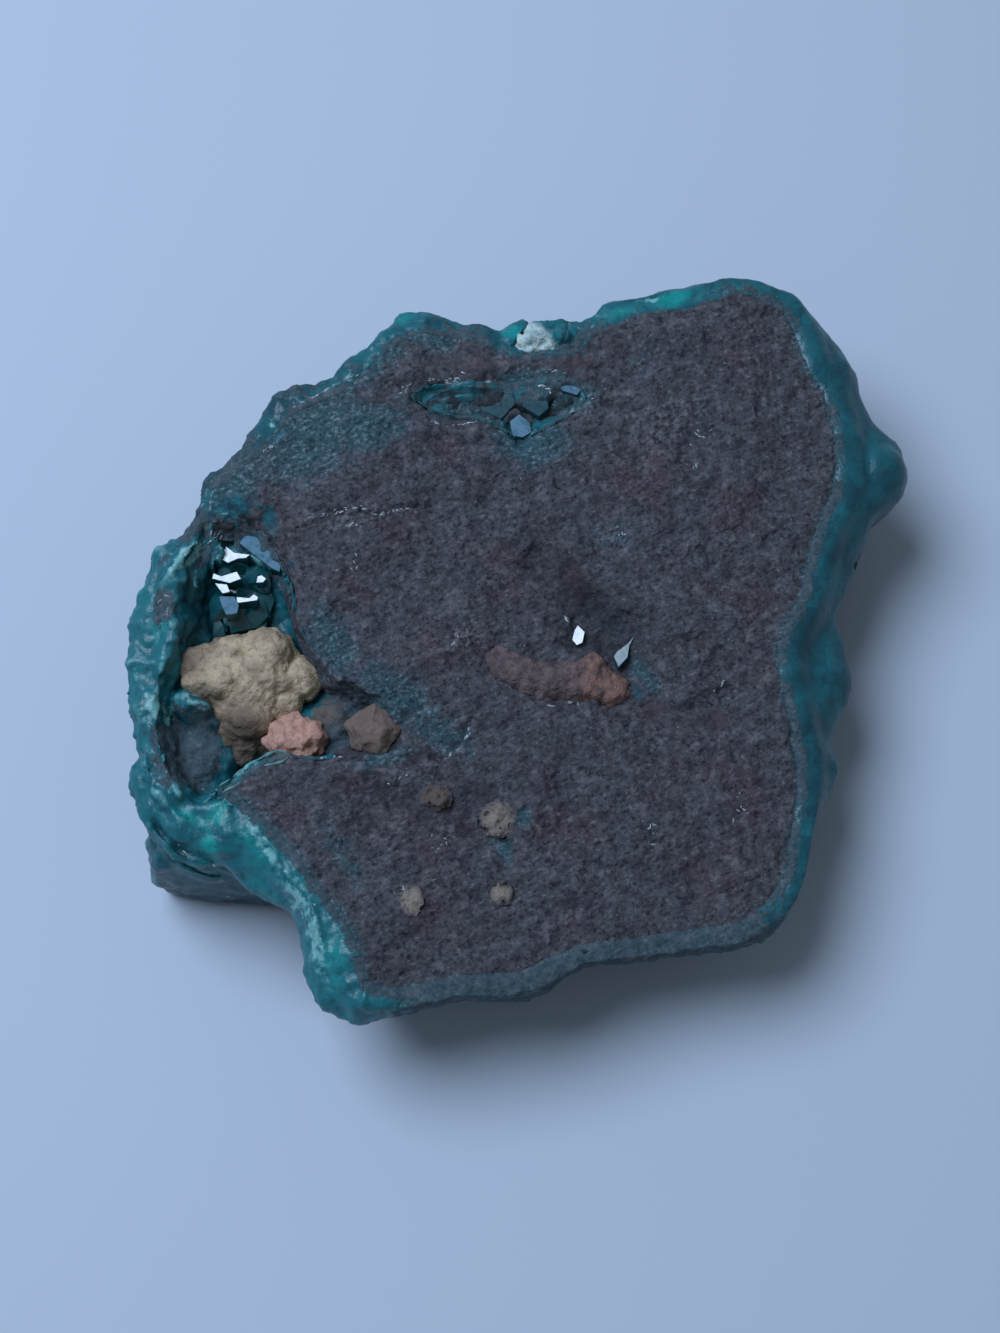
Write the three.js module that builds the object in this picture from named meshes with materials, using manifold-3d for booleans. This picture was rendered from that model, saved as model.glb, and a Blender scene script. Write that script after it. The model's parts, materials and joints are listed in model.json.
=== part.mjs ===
// Dioptase specimen: a tilted slab of dark, granular host rock, grown round and carried by a thick crust
// of blue-green dioptase. The crust shows as a rounded rim outside the slab's flat face, hangs below it
// in smooth lobes, and stands on a block-like foot and two lobes that are worn flat. A vug at the left, a
// crevice at the back and a small hollow in the middle open the face. Crystals, calcite, feldspar and
// other grains sit in them. Millimetres, +Z up, the face's long slope falling to the right and to the
// front (-Y).
import * as THREE from "three";
import { ParametricGeometry } from "three/addons/geometries/ParametricGeometry.js";
import { mergeVertices } from "three/addons/utils/BufferGeometryUtils.js";
import Module from "manifold-3d";

// ---- Driving dimensions ----
const FACE_HEIGHT = 16.5; // the flat face's height over the middle of the specimen
const FACE_FALL_X = 0.11; // how far the face falls for each millimetre to the right
const FACE_RISE_Y = 0.11; // how far it rises for each millimetre to the back
const SEAT_GAP = 0.35; // clearance between two minerals that meet
const SLAB_EDGE = 1.3; // thickness of the host slab at its edge
const SLAB_MIDDLE = 5.0; // and at its middle
const FACE_RELIEF = 0.5; // height of the slow waves in the face
const CRUST_THICKNESS = 10.0; // the whole specimen's thickness at the rim, without lobes and foot
const CRUST_BELLY = 1.2; // how much thicker it is in the middle
const RIM_BULGE = 0.15; // swell of the rim beyond its outline for each millimetre it lies below the face
const UNDERCUT = 0.55; // how far the outer wall draws in for each millimetre down
const CRUST_ROUGHNESS = 0.45; // height of the lumps on the outer wall

// Outer edge of the crust, seen from above, anticlockwise from the lobe at the right.
const RIM = [
  [34.1, 17.4], [33.6, 19.7], [31.2, 21.7], [30.1, 23.9], [29.9, 26.1], [28.5, 28.6], [26.0, 31.2],
  [24.6, 32.7], [21.4, 33.3], [19.3, 33.6], [15.8, 33.2], [12.0, 31.6], [7.9, 30.6], [6.9, 29.3],
  [5.9, 28.8], [4.6, 29.1], [2.1, 28.4], [0.8, 28.9], [-0.4, 28.4], [-1.7, 27.4], [-2.8, 28.3],
  [-3.8, 27.8], [-5.0, 28.7], [-8.8, 29.2], [-10.0, 28.6], [-10.8, 26.9], [-13.6, 24.1], [-15.0, 22.6],
  [-17.4, 22.0], [-19.9, 20.7], [-21.0, 19.3], [-21.9, 16.4], [-23.6, 15.1], [-24.9, 14.0], [-25.9, 12.4],
  [-25.5, 11.0], [-26.3, 9.5], [-27.6, 8.2], [-29.3, 7.2], [-30.4, 3.6], [-31.4, 2.1], [-31.5, -2.2],
  [-31.4, -4.1], [-30.9, -5.9], [-30.1, -9.0], [-30.6, -10.2], [-30.3, -12.4], [-29.2, -15.4],
  [-28.1, -16.6], [-26.7, -17.6], [-24.9, -18.1], [-23.5, -17.6], [-22.2, -18.2], [-19.8, -20.2],
  [-17.5, -21.4], [-16.6, -23.2], [-16.5, -25.2], [-16.2, -26.9], [-15.1, -29.0], [-12.4, -30.1],
  [-10.7, -29.9], [-8.9, -29.4], [-4.6, -28.4], [-0.4, -28.5], [1.4, -28.2], [2.9, -27.5], [4.3, -26.4],
  [6.0, -25.5], [10.0, -24.9], [14.2, -24.3], [18.4, -23.8], [20.2, -23.1], [21.6, -21.8], [22.7, -20.0],
  [23.6, -18.0], [24.5, -13.8], [25.3, -11.8], [26.5, -10.0], [26.7, -8.2], [26.3, -6.2], [26.9, -4.6],
  [28.0, -2.9], [28.4, -1.2], [28.1, 0.8], [27.8, 2.8], [26.9, 4.3], [27.8, 5.6], [28.9, 8.2],
  [29.6, 10.0], [30.7, 12.9], [32.3, 14.0], [33.6, 15.4],
];
// Edge of the host slab in its seat, in the same order.
const SLAB_OUTLINE = [
  [28.1, 17.4], [27.9, 20.3], [27.3, 22.6], [26.6, 24.4], [25.4, 26.0], [24.9, 28.3], [24.3, 30.6],
  [22.0, 32.0], [19.5, 32.4], [16.8, 31.9], [15.6, 30.9], [13.2, 30.1], [10.0, 30.0], [8.2, 29.3],
  [7.0, 27.9], [5.6, 26.4], [3.6, 25.5], [1.0, 25.3], [-1.2, 25.7], [-2.5, 26.5], [-4.0, 26.5],
  [-5.6, 27.3], [-7.8, 27.0], [-9.6, 25.8], [-11.4, 24.2], [-12.9, 22.6], [-14.7, 21.0], [-16.8, 20.2],
  [-18.8, 18.9], [-19.4, 17.2], [-20.8, 15.2], [-23.0, 13.7], [-24.4, 12.4], [-24.6, 10.9], [-25.0, 9.3],
  [-25.6, 6.5], [-26.2, 3.0], [-26.2, 0.0], [-26.0, -5.0], [-25.2, -9.5], [-23.2, -12.6], [-21.9, -13.4],
  [-20.5, -14.7], [-19.2, -16.0], [-17.6, -17.5], [-16.4, -19.4], [-15.0, -20.9], [-13.8, -22.5],
  [-12.9, -24.2], [-12.3, -25.6], [-12.8, -27.2], [-11.3, -28.2], [-8.9, -28.2], [-5.0, -27.4],
  [-2.0, -27.3], [1.4, -26.6], [3.6, -25.4], [6.5, -24.4], [9.8, -23.9], [13.5, -23.3], [17.5, -22.8],
  [20.2, -21.5], [21.7, -19.8], [22.6, -17.6], [23.2, -15.4], [23.5, -13.0], [23.9, -10.6], [23.7, -8.2],
  [23.3, -6.0], [22.8, -3.6], [22.3, -1.0], [22.5, 1.6], [23.9, 3.8], [24.8, 6.0], [25.2, 8.2],
  [25.9, 10.4], [26.7, 12.4], [27.7, 14.4],
];
// How far the rim lies below the face: [bearing in degrees, drop].
const RIM_DROP = [
  [0, 3.0], [45, 2.8], [70, 1.4], [100, 1.1], [140, 1.6], [175, 2.4], [200, 2.8], [222, 3.8], [240, 3.2],
  [265, 1.6], [305, 1.8], [335, 2.8], [360, 3.0],
];

// Hollows in the face: outline, middle, and depth as a function of x and y.
const VUG = {
  middle: [-21, -3],
  outline: [
    [-24.8, 9.3], [-26.2, 6.5], [-27.0, 3.0], [-27.2, -0.5], [-28.2, -3.5], [-28.8, -6.0], [-28.4, -8.5],
    [-27.2, -11.5], [-25.0, -14.2], [-22.3, -12.6], [-20.0, -10.6], [-18.0, -9.8], [-15.0, -10.2],
    [-12.0, -10.2], [-8.5, -9.5], [-7.5, -7.5], [-8.5, -5.5], [-11.0, -4.2], [-14.2, -3.0], [-15.6, -1.2],
    [-16.9, 1.0], [-17.4, 3.5], [-18.3, 6.0], [-20.3, 8.8], [-22.5, 9.8],
  ],
  depth: (x, y) => (x > -15 ? 3.2 : y > 1 ? 4.4 : 6.6),
};
const CREVICE = {
  middle: [0, 20.6],
  outline: [
    [7.0, 21.8], [5.5, 22.9], [3.0, 23.2], [0.0, 22.6], [-3.0, 22.2], [-7.0, 21.8], [-9.5, 20.6],
    [-6.5, 19.4], [-3.5, 19.2], [-0.8, 18.3], [0.5, 17.0], [2.0, 17.8], [4.0, 19.4], [6.3, 20.4],
  ],
  depth: () => 2.4,
};
const MIDDLE_HOLLOW = {
  middle: [7.5, 1.2],
  outline: [
    [11.6, 2.6], [9.0, 3.8], [6.2, 4.8], [4.2, 4.6], [4.6, 2.4], [3.6, 0.2], [5.0, -1.2], [7.5, -1.6],
    [9.6, -2.6], [10.6, -0.4],
  ],
  depth: () => 1.8,
};

// Steps and swells of the face: middle, half-lengths, turn in degrees, and height (a hollow is negative).
const FACE_SHAPES = [
  { x: -11, y: 16.5, along: 8, across: 3, turn: 20, height: 0.8 },
  { x: -6, y: 24.8, along: 6, across: 2.4, turn: 5, height: 0.7 },
  { x: -16, y: 11.8, along: 7, across: 1.6, turn: 4, height: 0.6 },
  { x: -6, y: -7.5, along: 5, across: 2.4, turn: -20, height: -1.5 },
  { x: -3, y: -14.5, along: 6, across: 2.6, turn: -25, height: -0.9 },
  { x: 18.0, y: -2.2, along: 2.2, across: 1.4, turn: 25, height: -0.6 },
  { x: 20, y: 18, along: 6, across: 8, turn: 0, height: 0.5 },
  { x: 6, y: -14, along: 12, across: 6, turn: 10, height: 0.4 },
];

// Smooth lobes that hang from the crust: middle, half-width, and how far each hangs down.
const LOBES = [
  { x: 3.5, y: 20, r: 7.0, hang: 9.0 },
  { x: 16.5, y: -15.5, r: 7.5, hang: 4.6 },
  { x: 20.5, y: 12, r: 6.5, hang: 3.0 },
  { x: 28, y: 17, r: 4.5, hang: 2.0 },
  { x: 14.5, y: 24, r: 5.0, hang: 2.6 },
  { x: -6.5, y: 22.5, r: 5.0, hang: 2.4 },
  { x: -14.5, y: 14.5, r: 6.5, hang: 3.2 },
  { x: -4.5, y: 10.5, r: 6.0, hang: 2.8 },
  { x: 8.5, y: 8.5, r: 5.5, hang: 3.0 },
  { x: 20, y: -1.5, r: 5.5, hang: 2.6 },
  { x: 9.5, y: -4, r: 6.0, hang: 2.8 },
  { x: -2, y: -2.5, r: 5.0, hang: 2.4 },
  { x: 5, y: -17, r: 6.0, hang: 3.0 },
  { x: -7.5, y: -22, r: 5.5, hang: 3.2 },
  { x: -6, y: -12, r: 5.0, hang: 2.2 },
  { x: -13, y: 2, r: 6.0, hang: 3.0 },
  { x: -24, y: 4, r: 5.5, hang: 2.8 },
];

// The foot under the left corner: plan of its base, height, and how far its top draws in.
const FOOT_PLAN = [
  [-30.2, -14.6], [-29.8, -16.9], [-26.3, -17.6], [-20.5, -18.0], [-17.4, -16.6], [-16.2, -12.4],
  [-17.6, -8.2], [-22.0, -6.4], [-27.0, -7.6], [-29.6, -10.8],
];
const FOOT_MIDDLE = [-23, -12];
const FOOT_HEIGHT = 13.2;
const HOLLOW_GAP = 0.5; // clearance between a hollow's wall and what sits in it

// ---- Helpers ----
const wasm = await Module();
wasm.setup();

const radians = THREE.MathUtils.degToRad;
const bearing = ([x, y]) => (Math.atan2(y, x) + 2 * Math.PI) % (2 * Math.PI);
const faceZ = (x, y) => FACE_HEIGHT - FACE_FALL_X * x + FACE_RISE_Y * y;

// Value of a list of [position, value] pairs at a position between two of them.
function between(pairs, position) {
  const next = Math.max(1, pairs.findIndex(([p]) => p >= position));
  const [[p0, v0], [p1, v1]] = [pairs[next - 1], pairs[next]];
  return v0 + ((v1 - v0) * (position - p0)) / (p1 - p0);
}

// Smooth, repeatable noise in -1..1 that changes over about one unit.
function noise(x, y, z) {
  const corner = (i, j, k) => {
    const s = Math.sin(i * 127.1 + j * 311.7 + k * 74.7) * 43758.5453;
    return 2 * (s - Math.floor(s)) - 1;
  };
  const [i, j, k] = [x, y, z].map(Math.floor);
  const [a, b, c] = [x - i, y - j, z - k].map((t) => t * t * (3 - 2 * t));
  const mix = THREE.MathUtils.lerp;
  const row = (dj, dk) => mix(corner(i, j + dj, k + dk), corner(i + 1, j + dj, k + dk), a);
  return mix(mix(row(0, 0), row(1, 0), b), mix(row(0, 1), row(1, 1), b), c);
}

// Distance from the axis to an outline at a bearing, for an outline that each bearing meets once.
function reach(outline) {
  const corners = outline.map((p) => [bearing(p), p]).sort((a, b) => a[0] - b[0]);
  return (angle) => {
    const after = corners.findIndex(([a]) => a > angle);
    const [, q] = corners[after < 0 ? 0 : after];
    const [, p] = corners[after <= 0 ? corners.length - 1 : after - 1];
    const [dx, dy] = [Math.cos(angle), Math.sin(angle)];
    const [ex, ey] = [q[0] - p[0], q[1] - p[1]];
    return (p[0] * ey - p[1] * ex) / (dx * ey - dy * ex);
  };
}

// A manifold-3d solid from a closed three.js geometry.
function solid(geometry) {
  const bare = new THREE.BufferGeometry().setAttribute("position", geometry.getAttribute("position"));
  if (geometry.index) bare.setIndex(geometry.index);
  const merged = mergeVertices(bare, 1e-4);
  const corners = merged.index.array;
  const kept = [];
  for (let i = 0; i < corners.length; i += 3) {
    const [a, b, c] = corners.subarray(i, i + 3);
    if (a !== b && b !== c && c !== a) kept.push(a, b, c);
  }
  const vertProperties = merged.getAttribute("position").array;
  const triVerts = new Uint32Array(kept);
  return new wasm.Manifold(new wasm.Mesh({ numProp: 3, vertProperties, triVerts }));
}

// The largest separate body of a solid.
const largest = (made) => made.decompose().reduce((a, b) => (b.volume() > a.volume() ? b : a));

// A named mesh from a solid.
function piece(name, made, colour, roughness) {
  const { numProp, vertProperties, triVerts } = largest(made).getMesh();
  const places = new Float32Array((vertProperties.length / numProp) * 3);
  for (let i = 0; i < places.length / 3; i++) {
    places.set(vertProperties.subarray(i * numProp, i * numProp + 3), i * 3);
  }
  const geometry = new THREE.BufferGeometry()
    .setAttribute("position", new THREE.BufferAttribute(places, 3))
    .setIndex(new THREE.BufferAttribute(triVerts, 1));
  geometry.computeVertexNormals();
  const material = new THREE.MeshStandardMaterial({ color: colour, roughness, metalness: 0 });
  const mesh = new THREE.Mesh(geometry, material);
  mesh.name = name;
  return mesh;
}

// A closed sheet round a middle: each ring is a function (column) => [x, y, z], from the upper pole to
// the lower one.
function rings(columns, list) {
  const at = (u, v, target) => {
    const ring = list[Math.round(v * (list.length - 1))];
    target.set(...ring(Math.round((1 - u) * columns) % columns));
  };
  return solid(new ParametricGeometry(at, columns, list.length - 1));
}

// A body over an outline: upper and lower surface are functions (x, y, share of the way out) => z, each
// made in a number of steps.
function pebble(outline, middle, [upperSteps, lowerSteps], upper, lower) {
  const ring = (share, surface) => (column) => {
    const x = middle[0] + share * (outline[column][0] - middle[0]);
    const y = middle[1] + share * (outline[column][1] - middle[1]);
    return [x, y, surface(x, y, share)];
  };
  const shares = (steps) => Array.from({ length: steps + 1 }, (_, i) => i / steps);
  return rings(outline.length, [
    ...shares(upperSteps).map((share) => ring(share, upper)),
    ...shares(lowerSteps).reverse().map((share) => ring(share, lower)),
  ]);
}

// An outline grown by a distance away from its middle.
const grown = (outline, middle, extra) =>
  outline.map(([x, y]) => {
    const out = new THREE.Vector2(x - middle[0], y - middle[1]);
    out.setLength(out.length() + extra);
    return [middle[0] + out.x, middle[1] + out.y];
  });

// An irregular rounded lump, its half-widths grown by extra.
function lump({ at, size, turn = [0, 0, 0], rough = 0.12, detail = 2, seed = 0 }, extra = 0) {
  const geometry = new THREE.IcosahedronGeometry(1, detail);
  const place = geometry.getAttribute("position");
  const p = new THREE.Vector3();
  for (let i = 0; i < place.count; i++) {
    p.fromBufferAttribute(place, i);
    p.multiplyScalar(1 + rough * noise(1.7 * p.x + seed, 1.7 * p.y, 1.7 * p.z));
    place.setXYZ(i, p.x * (size[0] + extra), p.y * (size[1] + extra), p.z * (size[2] + extra));
  }
  geometry.rotateX(radians(turn[0])).rotateY(radians(turn[1])).rotateZ(radians(turn[2]));
  return solid(geometry.translate(...at));
}

// A six-sided crystal with a blunt pyramid on its upper end, standing on a point and leaning over.
function crystal({ at, radius, length, tip = 0.6, lean = 0, towards = 0, sides = 6 }, extra = 0) {
  const r = radius + extra;
  const profile = [
    [0, -extra],
    [r, -extra],
    [r, length - tip * radius + extra],
    [0.35 * r, length + extra],
    [0, length + extra],
  ].map(([x, y]) => new THREE.Vector2(x, y));
  const geometry = new THREE.LatheGeometry(profile, sides);
  geometry.rotateX(Math.PI / 2).rotateY(radians(lean)).rotateZ(radians(towards));
  return solid(geometry.translate(...at));
}

const union = (solids) => solids.reduce((a, b) => a.add(b));
// A group of crystals fused into one by the low crust that they grow from.
const cluster = (base, crystals) => (extra) =>
  union([lump({ ...base, detail: 0 }, extra), ...crystals.map((c) => crystal(c, extra))]);

// A hollow's space, drawn in by an inset: it starts above the face and ends on a rounded floor that turns
// up into the wall near the outline.
function hollow({ outline, middle, depth }, inset = 0) {
  const wall = 0.72; // share of the way out where the wall begins
  const sink = (share) => (share < wall ? 1 - 0.15 * share : 0.05 + (0.9 * (1 - share)) / (1 - wall));
  const floor = (x, y, share) => faceZ(x, y) + inset - depth(x, y) * sink(share);
  return pebble(grown(outline, middle, -inset), middle, [1, 4], (x, y) => faceZ(x, y) + 4, floor);
}

// ---- Host slab ----
const columnBearings = RIM.map(bearing);
const slabReach = reach(SLAB_OUTLINE);
const slabEdge = (extra) =>
  columnBearings.map((angle) => {
    const r = slabReach(angle) + extra;
    return [r * Math.cos(angle), r * Math.sin(angle)];
  });
const slabThickness = (share) => SLAB_EDGE + (SLAB_MIDDLE - SLAB_EDGE) * (1 - share * share);

// Height of the slab's upper side: the plane, its slow waves, and its steps and swells.
function slabTop(x, y) {
  const waves = FACE_RELIEF * (noise(x / 6, y / 6, 0) + 0.7 * noise(x / 2.8, y / 2.8, 7));
  const shapes = FACE_SHAPES.map(({ x: cx, y: cy, along, across, turn, height }) => {
    const d = new THREE.Vector2(x - cx, y - cy).rotateAround(new THREE.Vector2(), -radians(turn));
    return height * Math.exp(-((d.x / along) ** 2) - (d.y / across) ** 2);
  });
  return faceZ(x, y) + waves + shapes.reduce((a, b) => a + b);
}

function slab() {
  const under = (x, y, share) => faceZ(x, y) - slabThickness(share);
  return pebble(slabEdge(0), [0, 0], [10, 2], slabTop, under);
}

// The space that the slab needs in the crust, open to the top.
function slabSeat() {
  const under = (x, y, share) => faceZ(x, y) - slabThickness(share) - SEAT_GAP;
  return pebble(slabEdge(SEAT_GAP), [0, 0], [1, 2], (x, y) => faceZ(x, y) + 6, under);
}

// ---- Crust ----
// The crust as a solid body, before the slab's seat is cut into it.
function crustBody() {
  const drop = columnBearings.map((angle) => between(RIM_DROP, THREE.MathUtils.radToDeg(angle)));
  const rimR = RIM.map(([x, y], column) => Math.hypot(x, y) + RIM_BULGE * drop[column]);
  const seatR = slabEdge(SEAT_GAP).map(([x, y]) => Math.hypot(x, y));
  const outward = (column, r) => {
    const angle = columnBearings[column];
    return [r * Math.cos(angle), r * Math.sin(angle)];
  };

  // The upper side: level with the slab's face as far as the seat's lip.
  const lid = (share) => (column) => {
    const [x, y] = outward(column, share * seatR[column]);
    return [x, y, faceZ(x, y)];
  };
  // The rounded shoulder from the seat's lip to the rim.
  const shoulder = (share, fall) => (column) => {
    const [x, y] = outward(column, THREE.MathUtils.lerp(seatR[column], rimR[column], share));
    const bump = CRUST_ROUGHNESS * noise(x / 1.6, y / 1.6, 3);
    return [x, y, faceZ(x, y) - fall * drop[column] + (fall < 1 ? bump : 0)];
  };
  // The wall below the rim, which draws in on its way down.
  const wallR = (column, down) => rimR[column] - UNDERCUT * down;
  const wall = (down) => (column) => {
    const [rx, ry] = RIM[column];
    const lumps = 2 * CRUST_ROUGHNESS * noise(rx / 3.5, ry / 3.5, down);
    const [x, y] = outward(column, wallR(column, down) + lumps);
    return [x, y, faceZ(rx, ry) - drop[column] - down];
  };
  // The underside with its lobes, from the wall's foot to the middle, worn flat where it meets the
  // ground.
  const under = (share) => (column) => {
    const [x, y] = outward(column, wallR(column, CRUST_THICKNESS - drop[column]) * share);
    const belly = CRUST_BELLY * (1 - share * share) + CRUST_ROUGHNESS * noise(x / 3, y / 3, 11);
    return [x, y, Math.max(0, faceZ(x, y) - CRUST_THICKNESS - belly - lobeHang(x, y))];
  };
  return rings(RIM.length, [
    ...[0, 1].map(lid),
    shoulder(0.3, 0.12),
    shoulder(0.65, 0.4),
    shoulder(0.9, 0.72),
    shoulder(1, 1),
    ...[1.8, 3.8].map(wall),
    ...[1, 0.92, 0.81, 0.69, 0.55, 0.4, 0.22, 0].map(under),
  ]);
}

// How far the lobes reach down at a point of the underside.
function lobeHang(x, y) {
  const hangs = LOBES.map((lobe) => {
    const away = Math.hypot(x - lobe.x, y - lobe.y) / lobe.r;
    return away < 1 ? lobe.hang * Math.sqrt(1 - away ** 2) : 0;
  });
  return Math.max(...hangs);
}

// The block under the left corner, with a slight lean and soft corners.
function foot() {
  const draw = (share, z) => (column) => {
    const [x, y] = FOOT_PLAN[column];
    const [mx, my] = FOOT_MIDDLE;
    return [mx + share * (x - mx), my + share * (y - my) - 0.02 * z, z];
  };
  return rings(FOOT_PLAN.length, [
    draw(0, FOOT_HEIGHT),
    draw(0.7, FOOT_HEIGHT),
    draw(0.97, FOOT_HEIGHT - 3),
    draw(1.04, 5),
    draw(1, 1),
    draw(0.95, 0),
    draw(0, 0),
  ]);
}

// Crystals of the same mineral that stand on the crust and are fused with it.
const RIM_CRYSTALS = [
  { at: [0.2, 26.2, 15.4], radius: 2.0, length: 3.9, lean: 20, towards: 110 },
  { at: [13.9, 30.6, 15.6], radius: 2.1, length: 2.8, lean: 30, towards: 100 },
  { at: [5.6, 26.4, 15.8], radius: 1.2, length: 3.2, lean: 18, towards: 80 },
  { at: [-23.6, -15.6, 12.4], radius: 1.3, length: 3.4, lean: 30, towards: 240 },
];

// ---- Grains and crystals that sit in the slab and the crust ----
// Each is a function of how far it is grown: 0 for the piece, the gap for its seat.

// The pale lump in the vug: a swollen crest at the back that falls away to the front.
function tanLump(extra) {
  const middle = [-21.6, -3.6];
  const outline = [
    [-15.6, -2.6], [-16.3, -1.4], [-17.3, -0.3], [-18.0, 0.9], [-19.2, 1.5], [-20.6, 1.6], [-22.4, 1.3],
    [-24.0, 0.9], [-25.9, 0.3], [-27.2, -1.2], [-28.0, -3.0], [-26.6, -4.2], [-25.2, -5.2], [-24.3, -7.0],
    [-23.8, -8.6], [-22.4, -10.0], [-20.9, -9.6], [-19.6, -8.6], [-18.6, -7.0], [-18.1, -5.4],
    [-17.6, -4.3], [-16.4, -3.6],
  ];
  const front = (y) => 0.42 * Math.max(0, -3 - y); // how far the crest has fallen towards the front
  const knobs = (x, y) => 0.35 * noise(x / 2, y / 2, 5);
  const crest = (x, y, share) => faceZ(x, y) - 1.0 - 2.8 * share ** 3 - front(y) + knobs(x, y) + extra;
  const base = (x, y, share) => faceZ(x, y) - 6.6 + 1.2 * share - extra;
  return pebble(grown(outline, middle, extra), middle, [5, 2], crest, base);
}

// The bent brown lump beside the middle hollow.
function brownLump(extra) {
  const outline = [
    [9.2, -3.8], [8.9, -2.6], [7.8, -2.0], [6.7, -0.7], [5.8, -1.2], [3.8, -1.6], [2.0, -1.8],
    [0.4, -1.1], [-1.0, -0.4], [-1.8, -1.0], [-1.4, -2.3], [0.0, -3.1], [1.4, -3.7], [3.1, -4.1],
    [5.0, -4.2], [6.4, -3.8], [8.0, -4.3],
  ];
  const middle = [3.8, -2.8];
  const back = (x, y, share) => faceZ(x, y) + 0.55 - 0.7 * share ** 3 + 0.2 * noise(x, y, 2) + extra;
  const base = (x, y, share) => faceZ(x, y) - 2.4 + 0.8 * share - extra;
  return pebble(grown(outline, middle, extra), middle, [4, 2], back, base);
}

const vugCrystals = cluster({ at: [-22.6, 5.4, 15.0], size: [4.8, 5.0, 1.9] }, [
  { at: [-22.4, 8.4, 14.8], radius: 1.8, length: 3.4, lean: 28, towards: 240 },
  { at: [-20.2, 6.6, 14.6], radius: 1.7, length: 3.2, lean: 30, towards: 215 },
  { at: [-24.0, 6.6, 14.6], radius: 1.4, length: 3.0, lean: 15, towards: 300 },
  { at: [-22.4, 5.2, 13.8], radius: 1.9, length: 3.2, lean: 12, towards: 200 },
  { at: [-24.6, 4.0, 14.0], radius: 1.5, length: 3.0, lean: 20, towards: 330 },
  { at: [-20.6, 3.4, 13.6], radius: 1.6, length: 3.0, lean: 26, towards: 190 },
  { at: [-23.0, 2.6, 13.6], radius: 1.4, length: 2.6, lean: 15, towards: 100 },
]);
const creviceCrystals = cluster({ at: [1.4, 21.2, 16.6], size: [5.8, 2.8, 1.1] }, [
  { at: [-1.9, 21.8, 16.4], radius: 1.6, length: 1.9, lean: 14, towards: 250 },
  { at: [0.6, 22.0, 16.4], radius: 1.4, length: 1.7, lean: 12, towards: 200 },
  { at: [2.4, 21.9, 16.2], radius: 1.4, length: 1.9, lean: 12, towards: 300 },
  { at: [4.9, 22.0, 15.9], radius: 1.5, length: 2.2, lean: 20, towards: 200 },
  { at: [1.0, 19.4, 15.9], radius: 1.3, length: 2.0, lean: 10, towards: 90 },
  { at: [3.2, 20.3, 15.8], radius: 1.2, length: 1.8, lean: 16, towards: 150 },
]);
const middleCrystals = cluster({ at: [7.4, 1.1, 14.4], size: [3.4, 1.8, 0.7] }, [
  { at: [5.7, 1.4, 13.9], radius: 0.9, length: 1.7, lean: 20, towards: 260, tip: 0.4 },
  { at: [7.3, 1.8, 13.6], radius: 1.2, length: 1.4, lean: 10, towards: 80, tip: 0.4 },
  { at: [9.2, 0.4, 13.4], radius: 1.1, length: 2.0, lean: 28, towards: 200, tip: 0.4 },
]);
const pinkGrain = (extra) =>
  lump({ at: [-17.6, -7.7, 15.0], size: [2.4, 1.7, 1.9], rough: 0.22, seed: 3 }, extra);
const greyCrystal = (extra) =>
  crystal({ at: [-11.0, -6.9, 13.0], radius: 2.3, length: 3.8, lean: 12, towards: 250, sides: 5 }, extra);
const paleKnob = (extra) =>
  lump({ at: [2.9, 26.9, 17.6], size: [2.9, 1.7, 1.9], turn: [0, 0, 12], rough: 0.18, seed: 9 }, extra);
const grain = (at, size) => (extra) => lump({ at, size, rough: 0.2, detail: 1, seed: at[0] }, extra);

// Everything that isn't slab or crust: name, shape, colour and roughness, and the hollow that it stands
// in, if any. What stands in a hollow keeps clear of its wall, and the others have seats cut for them.
// Each piece is cut back from the seats of those after it.
const INCLUSIONS = [
  ["vug_crystals", vugCrystals, 0x1c5f62, 0.2, VUG],
  ["crevice_crystals", creviceCrystals, 0x2b5a62, 0.25, CREVICE],
  ["middle_hollow_crystals", middleCrystals, 0x6f8e96, 0.2, MIDDLE_HOLLOW],
  ["tan_calcite_lump", tanLump, 0xa89c86, 0.8, VUG],
  ["pink_feldspar_grain", pinkGrain, 0xb08a80, 0.7, VUG],
  ["grey_feldspar_crystal", greyCrystal, 0x80747a, 0.6, VUG],
  ["brown_vein_lump", brownLump, 0x6e5650, 0.75],
  ["pale_calcite_knob", paleKnob, 0xb9c8c0, 0.7],
  ["cream_grain_large", grain([-1.2, -14.4, 14.2], [1.6, 1.2, 1.3]), 0x9a948a, 0.8],
  ["cream_grain_brown", grain([-6.1, -12.7, 15.0], [1.3, 1.0, 1.1]), 0x7a7064, 0.8],
  ["cream_grain_left", grain([-8.0, -21.2, 15.0], [0.8, 1.2, 1.0]), 0xa09288, 0.8],
  ["cream_grain_right", grain([-0.9, -20.4, 14.4], [0.9, 1.0, 0.9]), 0xa09288, 0.8],
];

// ---- Assembly ----
const hollows = union([VUG, CREVICE, MIDDLE_HOLLOW].map((place) => hollow(place)));
const seated = INCLUSIONS.filter(([, , , , home]) => !home);
const seats = union(seated.map(([, make]) => make(SEAT_GAP)));
const slabSolid = slab().subtract(hollows.add(seats));
const crustSolid = crustBody()
  .add(union([foot(), ...RIM_CRYSTALS.map((c) => crystal(c))]))
  .subtract(union([slabSeat(), hollows, seats]));

const specimen = new THREE.Group();
specimen.add(piece("host_rock_slab", slabSolid, 0x56505a, 0.9));
specimen.add(piece("dioptase_crust", crustSolid, 0x1f6f72, 0.35));
INCLUSIONS.forEach(([name, make, colour, roughness, home], index) => {
  const whole = home ? make(0).intersect(hollow(home, HOLLOW_GAP)) : make(0);
  const later = INCLUSIONS.slice(index + 1);
  const trimmed = later.reduce((kept, [, other]) => kept.subtract(other(SEAT_GAP)), whole);
  specimen.add(piece(name, trimmed, colour, roughness));
});

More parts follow.
